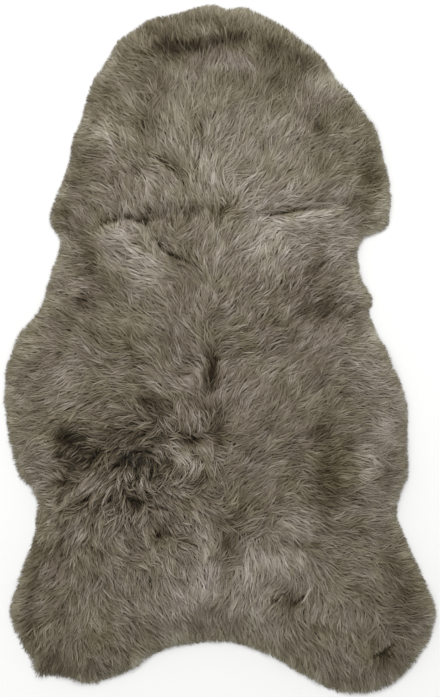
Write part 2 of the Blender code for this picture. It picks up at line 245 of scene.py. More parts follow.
# width and depth in mm, painted shade along the crease in hundredths of tone, and a route of x and y in mm
# and the strength there
creases = {
    "leftCrease": (1.4, 6, -42, [
        (-189, 170, 0.2), (-179, 174, 0.6), (-170, 179, 0.8), (-157, 182, 0.8), (-145, 186, 0.6),
        (-132, 189, 0.9), (-121, 185, 1.2), (-109, 180, 1.4), (-103, 186, 1), (-95, 189, 0.7),
        (-83, 190, 0.8), (-73, 187, 0.7), (-64, 183, 0.6), (-53, 186, 0.6), (-44, 195, 0.7),
        (-35, 209, 0.6), (-35, 222, 0.2),
    ]),
    "leftHook": (2.8, 3, -7, [(-108, 189, 0.9), (-103, 198, 0.9), (-106, 208, 0.2)]),
    "midCrease": (2.8, 4, -16, [
        (-28, 196, 0.3), (-18, 195, 0.8), (-7, 196, 0.9), (8, 200, 0.9), (21, 206, 0.9), (28, 215, 0.6),
        (33, 222, 0.2),
    ]),
    "lowCrease": (1.3, 3, -28, [(-24, 186, 0.3), (-12, 183, 0.8), (2, 185, 0.8), (17, 185, 0.2)]),
    "rightCrease": (1.4, 4, -34, [
        (40, 190, 0.3), (60, 192, 0.7), (72, 193, 0.9), (93, 196, 1), (111, 199, 1), (130, 200, 0.6),
        (158, 203, 0.5), (190, 208, 0.5), (224, 212, 0.3),
    ]),
    "shoulderParting": (1.9, 5, -30, [
        (-90, 161, 0.2), (-86, 151, 0.9), (-80, 141, 1), (-70, 135, 0.9), (-56, 128, 0.8),
        (-41, 122, 0.3),
    ]),
    "naturalPart": (1.6, 3, -28, [
        (-95, 280, 0.2), (-85, 270, 0.9), (-73, 261, 1), (-62, 253, 1), (-54, 241, 0.8), (-50, 231, 0.2),
    ]),
    "neckLine": (1.3, 3, -24, [
        (-27, 338, 0.2), (-27, 318, 0.7), (-25, 296, 0.9), (-30, 274, 0.8), (-34, 253, 1),
        (-35, 237, 0.5),
    ]),
    "browValley": (5, 6, -8, [
        (-105, 423, 0.2), (-93, 431, 0.7), (-79, 433, 1), (-62, 433, 1), (-44, 432, 0.8), (-22, 436, 0.6),
        (2, 444, 0.8), (25, 446, 0.9), (46, 445, 0.4),
    ]),
    "browLine": (1.2, 3, -20, [
        (-50, 428, 0.3), (-40, 431, 0.8), (-28, 433, 0.8), (-21, 432, 0.3), (-11, 439, 0.7),
        (2, 442, 0.8), (14, 442, 0.3), (25, 444, 0.7), (37, 448, 0.3),
    ]),
    "spine": (3.5, 5, -11, [
        (-12, 4, 0.3), (-11, -8, 0.9), (-9, -27, 1), (-12, -47, 0.8), (-18, -70, 0.4), (-21, -85, 0.2),
    ]),
    "leftHollow": (6, 6, -14, [
        (-235, -125, 0.4), (-221, -128, 1), (-206, -140, 0.9), (-192, -148, 0.6), (-179, -153, 0.2),
    ]),
    "underBundle": (3, 4, -22, [(-215, -163, 0.3), (-219, -182, 1), (-226, -203, 1), (-232, -222, 0.5)]),
    "curlHollow": (4, 6, -12, [
        (-157, -163, 0.5), (-145, -171, 1), (-128, -163, 0.8), (-108, -157, 0.9), (-93, -166, 1),
        (-88, -180, 0.9), (-76, -186, 0.6), (-64, -177, 0.4),
    ]),
    "ridgeHollow": (3, 4, -16, [(-116, -70, 0.3), (-105, -77, 1), (-90, -79, 0.8), (-76, -70, 0.3)]),
    "swirlGapA": (1.6, 4, -34, [
        (-143, -160, 0.3), (-135, -154, 1), (-127, -147, 1), (-115, -145, 0.8), (-101, -147, 0.9),
        (-98, -151, 0.2),
    ]),
    "swirlGapB": (1.6, 4, -34, [
        (-160, -170, 0.4), (-154, -167, 1), (-145, -164, 0.9), (-140, -167, 0.2),
    ]),
    "swirlGapC": (1.8, 4, -34, [
        (-115, -154, 0.6), (-119, -163, 0.6), (-121, -174, 0.7), (-118, -185, 1), (-115, -187, 0.3),
    ]),
    "swirlGapD": (1.6, 4, -34, [
        (-105, -163, 0.3), (-98, -170, 0.9), (-98, -180, 1), (-102, -189, 0.8), (-106, -192, 0.3),
    ]),
    "bundleEdge": (1.5, 4, -30, [
        (-170, -140, 0.4), (-176, -148, 1), (-182, -158, 0.8), (-189, -169, 0.5), (-195, -176, 0.3),
    ]),
    "bundleFoot": (1.5, 4, -30, [
        (-185, -209, 0.6), (-192, -215, 1), (-203, -221, 0.8), (-215, -228, 0.6), (-232, -235, 0.3),
    ]),
    "squiggle": (1.2, 4, -24, [
        (-62, -124, 0.3), (-54, -128, 0.8), (-43, -130, 1), (-33, -125, 1), (-22, -127, 1),
        (-17, -130, 0.4),
    ]),
    "hollowEdge": (1.4, 3, -26, [
        (-235, -154, 0.4), (-229, -150, 1), (-224, -144, 0.5), (-215, -143, 0.2),
    ]),
    "hollowLines": (1.3, 3, -24, [
        (-232, -161, 0.3), (-224, -166, 0.9), (-213, -173, 0.8), (-206, -179, 0.3),
    ]),
    "archGapA": (1.3, 4, -28, [(-157, -209, 0.5), (-156, -216, 1), (-154, -222, 0.4)]),
    "archGapB": (1.3, 4, -28, [(-137, -195, 0.6), (-138, -203, 0.9), (-137, -212, 0.4)]),
    "archTop": (1.4, 4, -28, [(-137, -195, 0.4), (-130, -189, 0.9), (-122, -187, 0.5)]),
    "lowGapA": (1.6, 4, -26, [(-134, -216, 0.5), (-125, -213, 1), (-114, -218, 0.8), (-99, -219, 0.4)]),
    "lowGapB": (1.6, 4, -24, [(-102, -221, 0.3), (-88, -225, 0.8), (-73, -229, 0.6), (-59, -237, 0.2)]),
    "hindGapA": (1.6, 4, -22, [(98, -367, 0.3), (106, -363, 0.9), (115, -357, 1), (122, -349, 0.4)]),
    "hindGapB": (1.5, 3, -20, [(66, -354, 0.3), (75, -358, 0.9), (85, -363, 0.6)]),
    "hindGapC": (1.5, 3, -18, [(128, -273, 0.4), (134, -279, 0.9), (143, -286, 0.6)]),
    "rightFootGap": (1.6, 4, -18, [
        (213, -445, 0.3), (222, -438, 0.8), (234, -432, 1), (245, -425, 0.7), (254, -416, 0.3),
    ]),
    "loinGap": (1.5, 3, -18, [(2, -292, 0.3), (9, -284, 0.9), (17, -277, 0.5)]),
    "rumpGap": (1.5, 3, -20, [(-101, -270, 0.3), (-93, -266, 1), (-85, -266, 0.6)]),
    "flankGap": (1.4, 3, -20, [(-206, 70, 0.3), (-199, 69, 1), (-189, 72, 0.4)]),
}

# lighter and darker patches, partly the wool's own tone and partly painted light and shade where its lay,
# hollows and creases meet the light: x, y and half widths in mm, and tone in hundredths
toneChart = {
    # painted shade in the brow valley, beside lighter patches
    "brow": [
        (-70, 435, 29, 17, -40), (-35, 435, 26, 12, -18), (20, 450, 35, 13, -22), (-45, 480, 29, 12, -10),
        (145, 380, 20, 19, 26), (105, 415, 26, 20, -12), (-100, 460, 20, 17, -12), (80, 435, 26, 23, -24),
        (85, 385, 26, 20, -16), (120, 415, 19, 23, -14), (-10, 475, 58, 12, -4),
    ],
    "head": [
        (-90, 380, 19, 20, -16), (-110, 335, 16, 26, -15), (-165, 370, 22, 14, -12),
        (-165, 310, 20, 16, 14), (-45, 390, 17, 23, 7), (45, 305, 26, 38, 3), (-10, 275, 20, 32, 9),
        (95, 295, 26, 43, 8), (-60, 330, 14, 20, 6), (-125, 255, 13, 12, -10), (-65, 260, 13, 13, -8),
        (-25, 310, 7, 12, -6), (30, 265, 7, 17, -6),
    ],
    "leftCheek": [
        (-195, 275, 20, 23, -18), (-230, 195, 23, 26, -16), (-210, 240, 20, 20, -6),
        (-165, 230, 20, 17, -4), (-95, 240, 16, 20, 10),
    ],
    "rightCheek": [
        (145, 320, 17, 38, -16), (185, 345, 19, 19, -12), (215, 255, 17, 41, -20), (140, 225, 12, 17, -6),
        (170, 245, 14, 20, 7),
    ],
    # painted shade beside the neck creases
    "neckCrease": [
        (-105, 200, 12, 10, -7), (-150, 190, 23, 7, -10), (-35, 200, 14, 13, -12), (10, 200, 25, 12, -14),
        (-60, 200, 12, 14, -8), (105, 200, 38, 6, -16),
    ],
    "leftShoulder": [
        (-145, 170, 23, 13, 16), (-130, 145, 35, 23, 15), (-105, 105, 25, 26, 12),
        (-60, 140, 20, 38, -16), (-70, 180, 17, 12, -5), (-190, 145, 19, 17, -24),
        (-180, 95, 32, 29, -16), (-200, 65, 26, 14, -12),
    ],
    "rightShoulder": [
        (175, 145, 20, 17, 12), (65, 170, 20, 29, 20), (145, 190, 49, 14, 12), (45, 130, 29, 20, 6),
        (115, 150, 29, 20, 6), (195, 160, 20, 20, 8), (140, 120, 19, 26, -18), (145, 60, 26, 29, -26),
        (105, 85, 22, 12, -18), (185, 45, 19, 14, -14), (75, 45, 12, 23, -14), (30, 85, 17, 29, -3),
    ],
    "middle": [
        (-155, 35, 23, 14, 3), (-100, 15, 58, 12, -8), (-20, 15, 20, 17, -10), (-230, 30, 43, 14, -5),
        (-180, 35, 14, 26, -10), (30, 0, 20, 14, -8), (-75, 70, 29, 17, 2),
    ],
    "leftFlank": [
        (-225, -35, 17, 26, 14), (-230, -75, 23, 12, 12), (-265, -50, 13, 29, -8), (-90, -50, 23, 14, 10),
        (-265, -125, 23, 23, 10), (-175, -35, 17, 20, 3), (-130, -10, 17, 14, -8), (-45, -65, 12, 20, -4),
    ],
    # painted shade in the hollow along the spine, with lighter wool beside it
    "spine": [
        (-10, -30, 13, 29, -29), (-5, -115, 12, 23, -20), (35, -75, 17, 35, 8), (95, -60, 29, 58, 4),
        (-20, -80, 9, 14, -12),
    ],
    # painted shade in the wool's hollows
    "hollows": [
        (-85, -90, 17, 13, -16), (-120, -25, 17, 14, -8), (-210, -105, 26, 10, -10),
        (-210, -145, 41, 27, -19), (-220, -125, 19, 12, -24), (-185, -165, 14, 12, -14),
        (-210, -170, 13, 9, -12), (-225, -185, 17, 17, -22), (-100, -75, 22, 14, -26),
        (-130, -115, 20, 20, -16), (-120, -160, 32, 13, -14), (-100, -170, 13, 17, -12),
        (-145, -145, 14, 12, -10), (-125, -220, 14, 16, -28), (-190, -225, 26, 12, -18),
        (-160, -215, 14, 9, -10), (-45, -130, 13, 13, -16),
    ],
    "swirl": [
        (-80, -145, 14, 7, 14), (-60, -155, 17, 9, 18), (-40, -165, 12, 12, 18), (-70, -130, 10, 13, 11),
        (-75, -165, 10, 9, -10), (-110, -190, 12, 6, 12), (-105, -175, 6, 9, 10), (-190, -190, 12, 23, 6),
        (-215, -215, 12, 12, 8), (-65, -200, 23, 7, 5),
    ],
    "rump": [
        (-90, -265, 16, 13, -24), (-265, -255, 17, 26, -10), (-10, -375, 13, 14, -10),
        (45, -195, 29, 17, -7), (-230, -290, 13, 14, -22), (-175, -295, 13, 13, -18),
        (10, -285, 13, 13, -22), (-25, -285, 13, 35, 14), (-20, -340, 20, 20, 12),
        (-65, -365, 23, 17, 12), (-175, -340, 20, 17, 3), (-205, -260, 14, 12, 6),
        (30, -180, 20, 14, -10), (25, -240, 17, 23, -10), (70, -230, 20, 17, -6),
    ],
    "rightRump": [
        (45, -310, 23, 26, 20), (85, -300, 32, 19, 16), (60, -390, 23, 29, 17), (120, -250, 20, 20, 10),
        (100, -365, 20, 22, -14), (130, -285, 13, 12, -10), (165, -365, 17, 14, 5),
        (15, -390, 17, 17, -6), (30, -420, 29, 12, 4),
    ],
    "rightFlank": [
        (155, -175, 20, 52, -26), (150, -75, 17, 35, -10), (140, -110, 19, 19, -16),
        (185, -130, 14, 17, -8), (240, -115, 19, 32, 18), (210, -170, 14, 35, 13),
        (250, -175, 14, 26, -6), (185, -35, 20, 29, -4), (215, -30, 20, 23, 4), (215, -85, 14, 14, -6),
        (180, -220, 17, 17, 2),
    ],
    "rightFoot": [
        (265, -350, 25, 29, -22), (235, -440, 19, 19, -16), (215, -355, 20, 20, -8),
        (250, -290, 17, 20, -12), (215, -270, 17, 17, -6), (195, -420, 20, 20, -4),
        (260, -400, 23, 23, -10),
    ],
    "leftFoot": [
        (-285, -405, 13, 23, -12), (-230, -470, 26, 12, -14), (-270, -340, 14, 32, -18),
        (-275, -395, 14, 20, -14), (-245, -445, 19, 17, -20), (-220, -360, 17, 20, -8),
        (-160, -440, 32, 17, -8), (-240, -400, 23, 20, -5),
    ],
    "broad": [
        (20, 305, 90, 104, 9), (95, 170, 90, 61, 8), (-10, -355, 93, 41, 8), (100, -285, 38, 38, 7),
        (225, -60, 23, 87, 10), (-215, -30, 43, 43, 4), (-130, -145, 101, 87, -6), (-175, 320, 26, 43, 5),
        (145, -160, 58, 87, -4), (-145, -365, 58, 35, 3),
    ],
    "crown": [
        (-65, 465, 32, 17, -13), (-70, 415, 35, 12, -14), (-140, 430, 14, 13, -13), (20, 435, 26, 9, -10),
        (-25, 405, 13, 12, -8), (65, 415, 14, 13, -10), (-20, 365, 38, 29, -5), (35, 310, 9, 22, -12),
        (-185, 355, 13, 13, -9), (-90, 360, 10, 19, -6),
    ],
    "neck": [
        (-125, 200, 23, 12, 16), (-85, 210, 10, 12, 10), (-35, 225, 16, 14, 14), (110, 215, 14, 12, 12),
        (165, 225, 12, 16, 10), (165, 170, 17, 13, 9), (235, 205, 13, 22, 12), (235, 295, 9, 29, 10),
        (145, 260, 12, 22, -9), (100, 380, 12, 13, -9),
    ],
    "waist": [
        (-65, 145, 14, 16, 12), (-15, 120, 20, 22, 8), (70, 100, 14, 26, 9), (45, 80, 12, 14, 6),
        (-265, -20, 16, 16, -12), (-125, -50, 19, 17, -10), (-70, -85, 12, 13, -12), (-50, 0, 12, 12, -8),
        (20, -100, 20, 38, -8), (120, -45, 10, 25, -8), (-250, -85, 13, 13, -10),
        (-255, -130, 13, 12, -10), (155, -115, 14, 14, 8), (220, 20, 13, 10, 10), (265, -75, 9, 29, 10),
    ],
    "tail": [
        (-260, -185, 19, 16, 12), (-10, -175, 13, 13, -12), (-50, -175, 12, 10, -9),
        (255, -185, 10, 19, 10), (-165, -230, 19, 10, 12), (125, -225, 13, 10, 10),
        (-105, -275, 19, 12, -14), (-115, -245, 12, 10, -8), (-270, -295, 13, 23, -12),
        (-265, -420, 14, 13, -10), (-75, -415, 19, 12, 10), (80, -410, 17, 14, 13), (35, -365, 14, 13, 9),
        (155, -320, 9, 13, 9), (190, -365, 14, 12, -10), (140, -285, 12, 12, -7),
    ],
    # painted shade along the rim at the tail end, and two patches at the right shoulder
    "edges": [
        (-175, -465, 61, 12, -10), (180, -490, 52, 12, -10), (-10, -430, 67, 10, -10),
        (-90, -440, 23, 12, -8), (90, -450, 26, 12, -8), (260, -465, 20, 14, -8),
        (-250, -475, 20, 12, -10), (225, 170, 17, 13, 10), (200, 150, 12, 14, -12),
    ],
    "wideAreas": [
        (-20, 200, 145, 49, 5), (165, 140, 41, 49, 5), (-155, 230, 43, 38, 5), (-230, 0, 55, 64, -5),
        (-205, -325, 75, 64, -4), (-155, -195, 72, 52, 6), (45, -130, 49, 72, -3), (5, 455, 67, 38, -4),
        (180, -155, 17, 13, -10), (245, -150, 17, 13, -10), (-65, -150, 23, 17, 6),
        (115, -305, 58, 26, -4), (-60, -420, 38, 14, 5), (100, -435, 20, 13, 6), (-95, 275, 17, 17, 7),
        (70, 305, 14, 14, 7), (-30, 20, 23, 26, 5), (95, 115, 38, 29, 5), (30, 365, 58, 38, -3),
    ],
    "smallPatches": [
        (-255, -150, 16, 13, 10), (-185, -110, 13, 12, -8), (-265, -60, 12, 17, 7), (45, 160, 20, 14, -8),
        (20, 40, 13, 14, -8), (-10, -365, 13, 17, -8), (-110, -310, 14, 13, -8), (215, -95, 14, 13, -8),
        (160, -35, 12, 20, 6), (-205, 235, 17, 17, -7), (-130, 425, 13, 13, -7), (-110, 130, 17, 12, -6),
        (-65, 135, 14, 14, 5), (-15, -230, 12, 14, -5), (240, -305, 14, 13, -7), (270, -305, 12, 12, -7),
        (230, 195, 14, 20, 6), (220, 20, 17, 17, 6), (-130, 75, 14, 14, 5), (15, 475, 13, 12, -7),
    ],
    "faintPatches": [
        (-50, 5, 12, 17, -6), (-100, -125, 13, 10, -8), (-190, -245, 14, 13, 5), (-135, -175, 20, 14, 4),
        (-225, -175, 14, 14, 4), (45, 5, 23, 17, -3), (60, -390, 20, 20, -3), (-210, 250, 14, 14, -4),
        (180, -285, 13, 17, -6), (90, -50, 12, 20, -4), (-30, -35, 9, 23, 6),
    ],
    "paleHints": [
        (90, -250, 14, 17, 7), (60, -320, 23, 20, 4), (140, -340, 14, 13, 5), (145, -365, 13, 14, 5),
        (210, -175, 13, 29, 4), (25, -365, 13, 17, 4), (180, -390, 20, 14, 4), (115, -420, 20, 13, -4),
        (-165, 165, 13, 12, 6), (-155, 125, 17, 14, 5), (-100, 110, 14, 17, 4),
    ],
}

# where the wool is ruffled, with deeper gaps painted as darker roots, and below 0 smooth: x, y, half widths
# in mm, and share
ruffleChart = [
    (-10, 390, 150, 110, -0.32), (-160, 330, 60, 90, 0.24), (-100, 215, 90, 100, 0.2),
    (95, 90, 105, 105, 0.24), (-22, -60, 42, 60, 0.35), (-165, -165, 95, 80, 0.5),
    (-250, -270, 60, 90, 0.3), (-100, -245, 75, 60, 0.15), (245, -145, 75, 175, -0.16),
    (0, -350, 230, 70, -0.12), (260, -390, 85, 85, -0.14), (-130, -420, 45, 35, 0.25),
    (-55, 434, 50, 18, 0.55), (160, 300, 60, 60, -0.12),
]
# where the wool is greyer, and below 0 more olive, in the same way
hueChart = [
    (-10, -30, 270, 200, 0.8), (-70, -280, 170, 80, 0.5), (-160, 215, 60, 50, 0.5),
    (150, 110, 70, 90, 0.4), (15, 410, 48, 36, 1.4), (122, 375, 16, 34, 0.9), (-131, 328, 18, 12, 1.0),
    (0, 340, 190, 80, -0.5), (75, 450, 45, 22, -0.9), (215, 255, 22, 75, -1.3), (-135, 15, 50, 45, -1.4),
    (-222, -128, 26, 18, -1.8), (165, -174, 28, 34, -2.0), (24, -218, 28, 30, -1.4),
    (-80, -271, 24, 10, -1.4), (-102, -167, 24, 18, -1.3), (-15, -22, 12, 24, -1.2),
    (11, -287, 10, 22, -1.0), (-270, 40, 25, 50, -0.6), (0, -435, 250, 45, -1.0),
    (122, -420, 26, 20, -0.6), (-59, 176, 16, 12, -0.9), (166, -44, 14, 30, -0.8),
]

shading = {
    "patchEdge": 1.15,  # how soon a patch fades past its half width
    "patchGain": 0.90,
    # painted light: the wool at the rim is painted lighter, against the shade that the lamps and floor give
    # it there
    "rimPaintedLight": 0.060,  # the rim's wool is lighter
    "rimPlace": -0.004,
    "rimSpread": 0.0050,
    "middle": (0.012, 0.010),  # width in metres and share of uneven tone
    "small": (0.0055, 0.027),
    "ruffle": 0.62,
    "ruffleLimits": (0.3, 1.4),
    "ruffleCalm": 0.40,  # the wool is calm at this ruffle
    "ruffleSpan": 0.75,  # and wholly ruffled this much above it
    "hue": 0.8,
    "hueSpread": 0.35,
    "hueWidth": 0.009,
    "rimHue": -0.9,  # the last of the rim is olive
    "rimHueWidth": 0.007,
    "relief": (0.010, 0.0016),  # width and height in metres of the uneven surface
    "reliefEdge": 0.02,  # it fades this far from the rim
    "slopeWidth": 0.004,
}
creasing = {
    # painted shade along the creases: its strength, and its width as a share of the crease's
    "shadeGain": 0.75,
    "shadeWidth": 0.85,  # of the crease's own width
    "depthWidth": 1.1,
    # the wool beside a crease is ruffled, so its roots are painted darker as shade
    "nearby": 0.007,  # metres beside it that are ruffled
    "ruffle": 0.25,
    "detail": 0.8,
    "cutWidest": 2.7,  # creases narrower than this in mm stop the locks that reach them
    "cutWidth": 0.62,
    "cutStrength": 1.2,
    "cutGain": 0.94,
    "cutUneven": 0.14,
    "cutNoise": 0.003,
}


def distanceAlong(route):  # how far each grid point lies from a route, and the strength there
    points = np.array(route, float)
    points[:, :2] /= 1000
    near = np.full(gridX.shape, 1.0)
    strength = np.zeros(gridX.shape)
    for (ax, ay, a), (bx, by, b) in zip(points, points[1:]):
        length = max((bx - ax) ** 2 + (by - ay) ** 2, 1e-9)
        share = np.clip(((gridX - ax) * (bx - ax) + (gridY - ay) * (by - ay)) / length, 0, 1)
        away = np.hypot(gridX - ax - share * (bx - ax), gridY - ay - share * (by - ay))
        closer = away < near
        near = np.where(closer, away, near)
        strength = np.where(closer, a + share * (b - a), strength)
    return near, strength


# creases sink the wool's surface and paint shade along their lines, and the narrow ones mark where locks
# stop
def addCreases(height, tone):
    land["cut"], land["near"] = np.zeros_like(height), np.zeros_like(height)
    uneven = creasing["cutGain"] + creasing["cutUneven"] * softNoise(creasing["cutNoise"], 60)
    for widthMm, depthMm, creaseShade, route in creases.values():
        near, strength = distanceAlong(route)
        width = widthMm / 1000
        land["near"] = np.maximum(land["near"], np.clip(strength, 0, 1) * bell(near, creasing["nearby"]))
        if widthMm < creasing["cutWidest"]:
            line = np.minimum(strength, creasing["cutStrength"]) * bell(near, creasing["cutWidth"] * width)
            land["cut"] = np.maximum(land["cut"], line * uneven)
        height = height - depthMm / 1000 * (strength * bell(near, creasing["depthWidth"] * width))
        # painted shade: the tone darkens along the crease line
        line = strength * bell(near, creasing["shadeWidth"] * width)
        tone = tone + creaseShade / 100 * line * creasing["shadeGain"]
    return height, tone


def patchLayer(rows):  # soft oval patches, added up
    layer = np.zeros_like(gridX)
    for x, y, halfX, halfY, share in rows:
        away = ((millimetreX - x) / halfX) ** 2 + ((millimetreY - y) / halfY) ** 2
        layer += share * np.exp(-shading["patchEdge"] * away)
    return layer


# the wool's tone: patches that are partly painted light and shade, painted light at the rim, and even noise
def toneLayer():
    tone = shading["patchGain"] / 100 * sum(patchLayer(rows) for rows in toneChart.values())
    # painted light at the rim
    tone += shading["rimPaintedLight"] * bell(land["inward"] - shading["rimPlace"], shading["rimSpread"])
    for seed, part in ((52, "middle"), (53, "small")):
        width, share = shading[part]
        tone += share * softNoise(width, seed)
    return tone


def shapeLand():  # the uneven surface with its creases, and its slopes
    width, height = shading["relief"]
    relief = height * softNoise(width, 57) * np.clip(land["inward"] / shading["reliefEdge"], 0, 1)
    land["height"], land["tone"] = addCreases(land["height"] + relief, toneLayer())
    land["height"] = np.maximum(land["height"], survey["lowest"])
    smooth = blurred(land["height"], shading["slopeWidth"])
    land["slopeY"], land["slopeX"] = np.gradient(-smooth, survey["cell"])


def shadeLand():  # how ruffled the wool is, and its hue
    ruffle = shading["ruffle"] + patchLayer(ruffleChart) + creasing["ruffle"] * land["near"]
    land["ruffle"] = np.clip(ruffle, *shading["ruffleLimits"])
    fromRim = np.maximum(land["inward"], 0) / shading["rimHueWidth"]
    uneven = shading["hueSpread"] * softNoise(shading["hueWidth"], 58)
    land["hue"] = shading["hue"] * patchLayer(hueChart) + uneven + shading["rimHue"] * np.exp(-(fromRim**2))


shapeLand()
shadeLand()
say("marked the creases and tones")


# the way the wool is combed
comb = {
    "reach": 0.008,  # how sharply one stroke gives way to the next
    "power": 3.8,
    "broadTurn": 9,  # degrees of unevenness
    "broadWidth": 0.026,
    "fineTurn": 13,
    "fineWidth": 0.009,
    "rimTurn": 0.9,  # how much the wool turns outwards at the rim
    "rimWidth": 0.014,
    "rimPower": 1.5,
    "rimSoften": 0.006,
}
# x and y in millimetres, and the way the tips point in degrees from +X
combStrokes = {
    "head": [
        (-15, 475, 90), (35, 490, 75), (-100, 450, 115), (-145, 405, 145), (-175, 385, 172),
        (-160, 345, 142), (-180, 320, 155), (-195, 290, 165), (-130, 290, 133), (-100, 265, 135),
        (-60, 360, 92), (-60, 290, 110), (-30, 290, 92), (-60, 255, 120), (-190, 210, 150),
        (-230, 195, 160), (-100, 215, 135), (-145, 230, 122), (-15, 230, 80), (30, 420, 90),
        (70, 435, 76), (115, 420, 78), (45, 360, 62), (145, 385, 80), (15, 290, 70), (70, 290, 65),
        (115, 305, 58), (130, 280, 48), (180, 345, 60), (175, 275, 40), (215, 305, 35), (115, 240, 38),
        (185, 230, 25), (225, 210, 12), (85, 195, 14), (175, 195, 10), (30, 245, 35), (30, 215, 25),
        (230, 180, 0),
    ],
    "leftBody": [
        (-230, 175, 163), (-145, 160, 150), (-100, 145, 137), (-130, 100, 152), (-160, 85, 160),
        (-50, 165, 45), (-75, 145, 120), (-15, 130, 75), (-30, 85, 98), (-60, 85, 117), (-90, 70, 130),
        (-190, 70, 157), (-230, 85, 165), (-245, 30, 155), (-175, 30, 145), (-100, 30, 147),
        (-190, 15, 140), (-255, 0, 175), (-230, -30, 193), (-220, -45, 202), (-190, -75, 200),
        (-260, -75, 190), (-290, -75, 180), (-230, -100, 205), (-275, -130, 200), (-245, -125, 212),
        (-145, -45, 170), (-145, -15, 165), (-45, 0, 132), (-75, -30, 135), (-45, -45, 133),
        (-90, -60, 145), (-115, -75, 130), (-45, -90, 100), (-75, -100, 110),
    ],
    "rightBody": [
        (30, 145, 43), (85, 145, 40), (145, 160, 30), (175, 175, 27), (185, 145, 20), (15, 85, 50),
        (55, 70, 45), (95, 85, 62), (130, 115, 40), (175, 110, 22), (195, 80, 2), (115, 55, 45),
        (160, 55, 30), (30, 30, 22), (85, 15, 45), (130, 30, 40), (195, 30, 5), (215, 15, 0),
        (215, -10, -17), (30, 0, 8), (20, -40, 52), (70, -30, 38), (115, -20, 42), (160, -15, 18),
        (185, -30, 5), (85, -75, 40), (130, -60, 45), (160, -90, 40), (215, -75, -10), (240, -95, -18),
        (230, -130, -3), (45, -100, 32), (115, -115, 32), (175, -115, 28), (70, -130, 20),
        (175, -145, 22), (215, -155, -8),
    ],
    "leftRump": [
        (-275, -175, 195), (-260, -245, 213), (-175, -245, 240), (-45, -245, -48), (-100, -245, -85),
        (-245, -305, 217), (-220, -320, 228), (-190, -305, 290), (-175, -305, 297), (-155, -310, 300),
        (-195, -350, 270), (-115, -290, 325), (-130, -335, 278), (-260, -350, 220), (-275, -375, 222),
        (-255, -390, 233), (-230, -420, 255), (-260, -435, 250), (-230, -465, 250), (-175, -365, 290),
        (-115, -375, 308), (-90, -390, 310), (-145, -405, 317), (-115, -420, 317), (-190, -435, 280),
        (-160, -450, 300), (-60, -365, 285), (-30, -350, 270), (-45, -375, 310), (-30, -390, 280),
        (-10, -375, 250),
    ],
    "rightRump": [
        (30, -160, 30), (85, -190, 40), (15, -205, 60), (70, -230, 45), (45, -245, 47), (130, -175, 5),
        (130, -220, -12), (160, -245, -17), (200, -175, -2), (230, -220, 0), (215, -245, 3),
        (250, -260, 12), (115, -260, -28), (145, -260, -33), (175, -290, -30), (215, -290, -10),
        (260, -290, 15), (230, -320, -20), (290, -365, -5), (45, -305, 260), (70, -290, 287),
        (100, -305, 295), (145, -305, 300), (160, -320, -45), (160, -350, -43), (185, -335, -20),
        (30, -320, 245), (30, -290, 230), (85, -355, 230), (130, -350, 240), (115, -390, 283),
        (160, -375, 263), (160, -405, 300), (55, -405, 290), (100, -420, 293), (145, -435, 307),
        (185, -420, 305), (215, -405, 285), (260, -375, -25), (275, -405, -28), (260, -435, -55),
        (275, -450, -48), (230, -465, 285), (175, -480, 270), (200, -495, 272),
    ],
    "swirl": [
        (-155, -130, 210), (-130, -130, 198), (-110, -130, 180), (-95, -140, -10), (-75, -145, -22),
        (-60, -150, -25), (-40, -155, -22), (-30, -165, -60), (-30, -180, -95), (-35, -195, -125),
        (-50, -205, -165), (-45, -175, -60), (-45, -185, -105), (-55, -195, -150), (-70, -180, 215),
        (-90, -190, 205), (-80, -170, 230), (-115, -145, 200), (-135, -155, 222), (-100, -155, -50),
        (-95, -165, -80), (-100, -185, -110), (-110, -175, 250), (-125, -165, 235), (-120, -185, 230),
        (-145, -165, 205), (-155, -170, 215), (-145, -175, 210), (-165, -155, 245), (-175, -175, 242),
        (-190, -195, 235), (-210, -215, 222), (-230, -230, 215), (-170, -190, 225), (-155, -180, 218),
        (-180, -210, 222), (-155, -200, 225), (-140, -205, 262), (-125, -200, 300), (-115, -200, -35),
        (-95, -205, -8), (-75, -200, -5), (-100, -215, -15), (-65, -215, -12), (-35, -215, -15),
        (-20, -225, -30), (-45, -230, -35), (-80, -225, -25), (-105, -230, -60), (-165, -225, 240),
        (-145, -230, 245), (-125, -235, 262), (-100, -245, 272), (-80, -245, 290), (-60, -240, 312),
        (-30, -245, 318), (-190, -240, 228), (-220, -240, 220), (-245, -240, 215), (-190, -130, 180),
        (-205, -145, 190), (-220, -155, 200), (-230, -175, 150), (-215, -180, 150), (-250, -190, 190),
        (-245, -165, 186), (-235, -205, 215), (-255, -210, 210), (-230, -130, 200), (-195, -165, 215),
        (-180, -155, 222),
    ],
}


def combLayers():
    sumX, sumY = np.zeros_like(gridX), np.zeros_like(gridX)
    for x, y, turn in [row for part in combStrokes.values() for row in part]:
        away = (gridX - x / 1000) ** 2 + (gridY - y / 1000) ** 2 + comb["reach"] ** 2
        weight = away ** (-comb["power"] / 2)
        sumX += weight * math.cos(math.radians(turn))
        sumY += weight * math.sin(math.radians(turn))
    angle = np.arctan2(sumY, sumX)
    angle += math.radians(comb["broadTurn"]) * softNoise(comb["broadWidth"], 21)
    angle += math.radians(comb["fineTurn"]) * softNoise(comb["fineWidth"], 22)
    return np.cos(angle), np.sin(angle)


def outwardLayers():
    falling = np.gradient(-blurred(land["inward"], comb["rimSoften"]), survey["cell"])
    length = np.maximum(np.hypot(*falling), 1e-6)
    return falling[1] / length, falling[0] / length


combX, combY = combLayers()
outX, outY = outwardLayers()
rimShare = comb["rimTurn"] * np.clip(1 - land["inward"] / comb["rimWidth"], 0, 1) ** comb["rimPower"]
land["wayX"], land["wayY"] = combX + rimShare * outX, combY + rimShare * outY


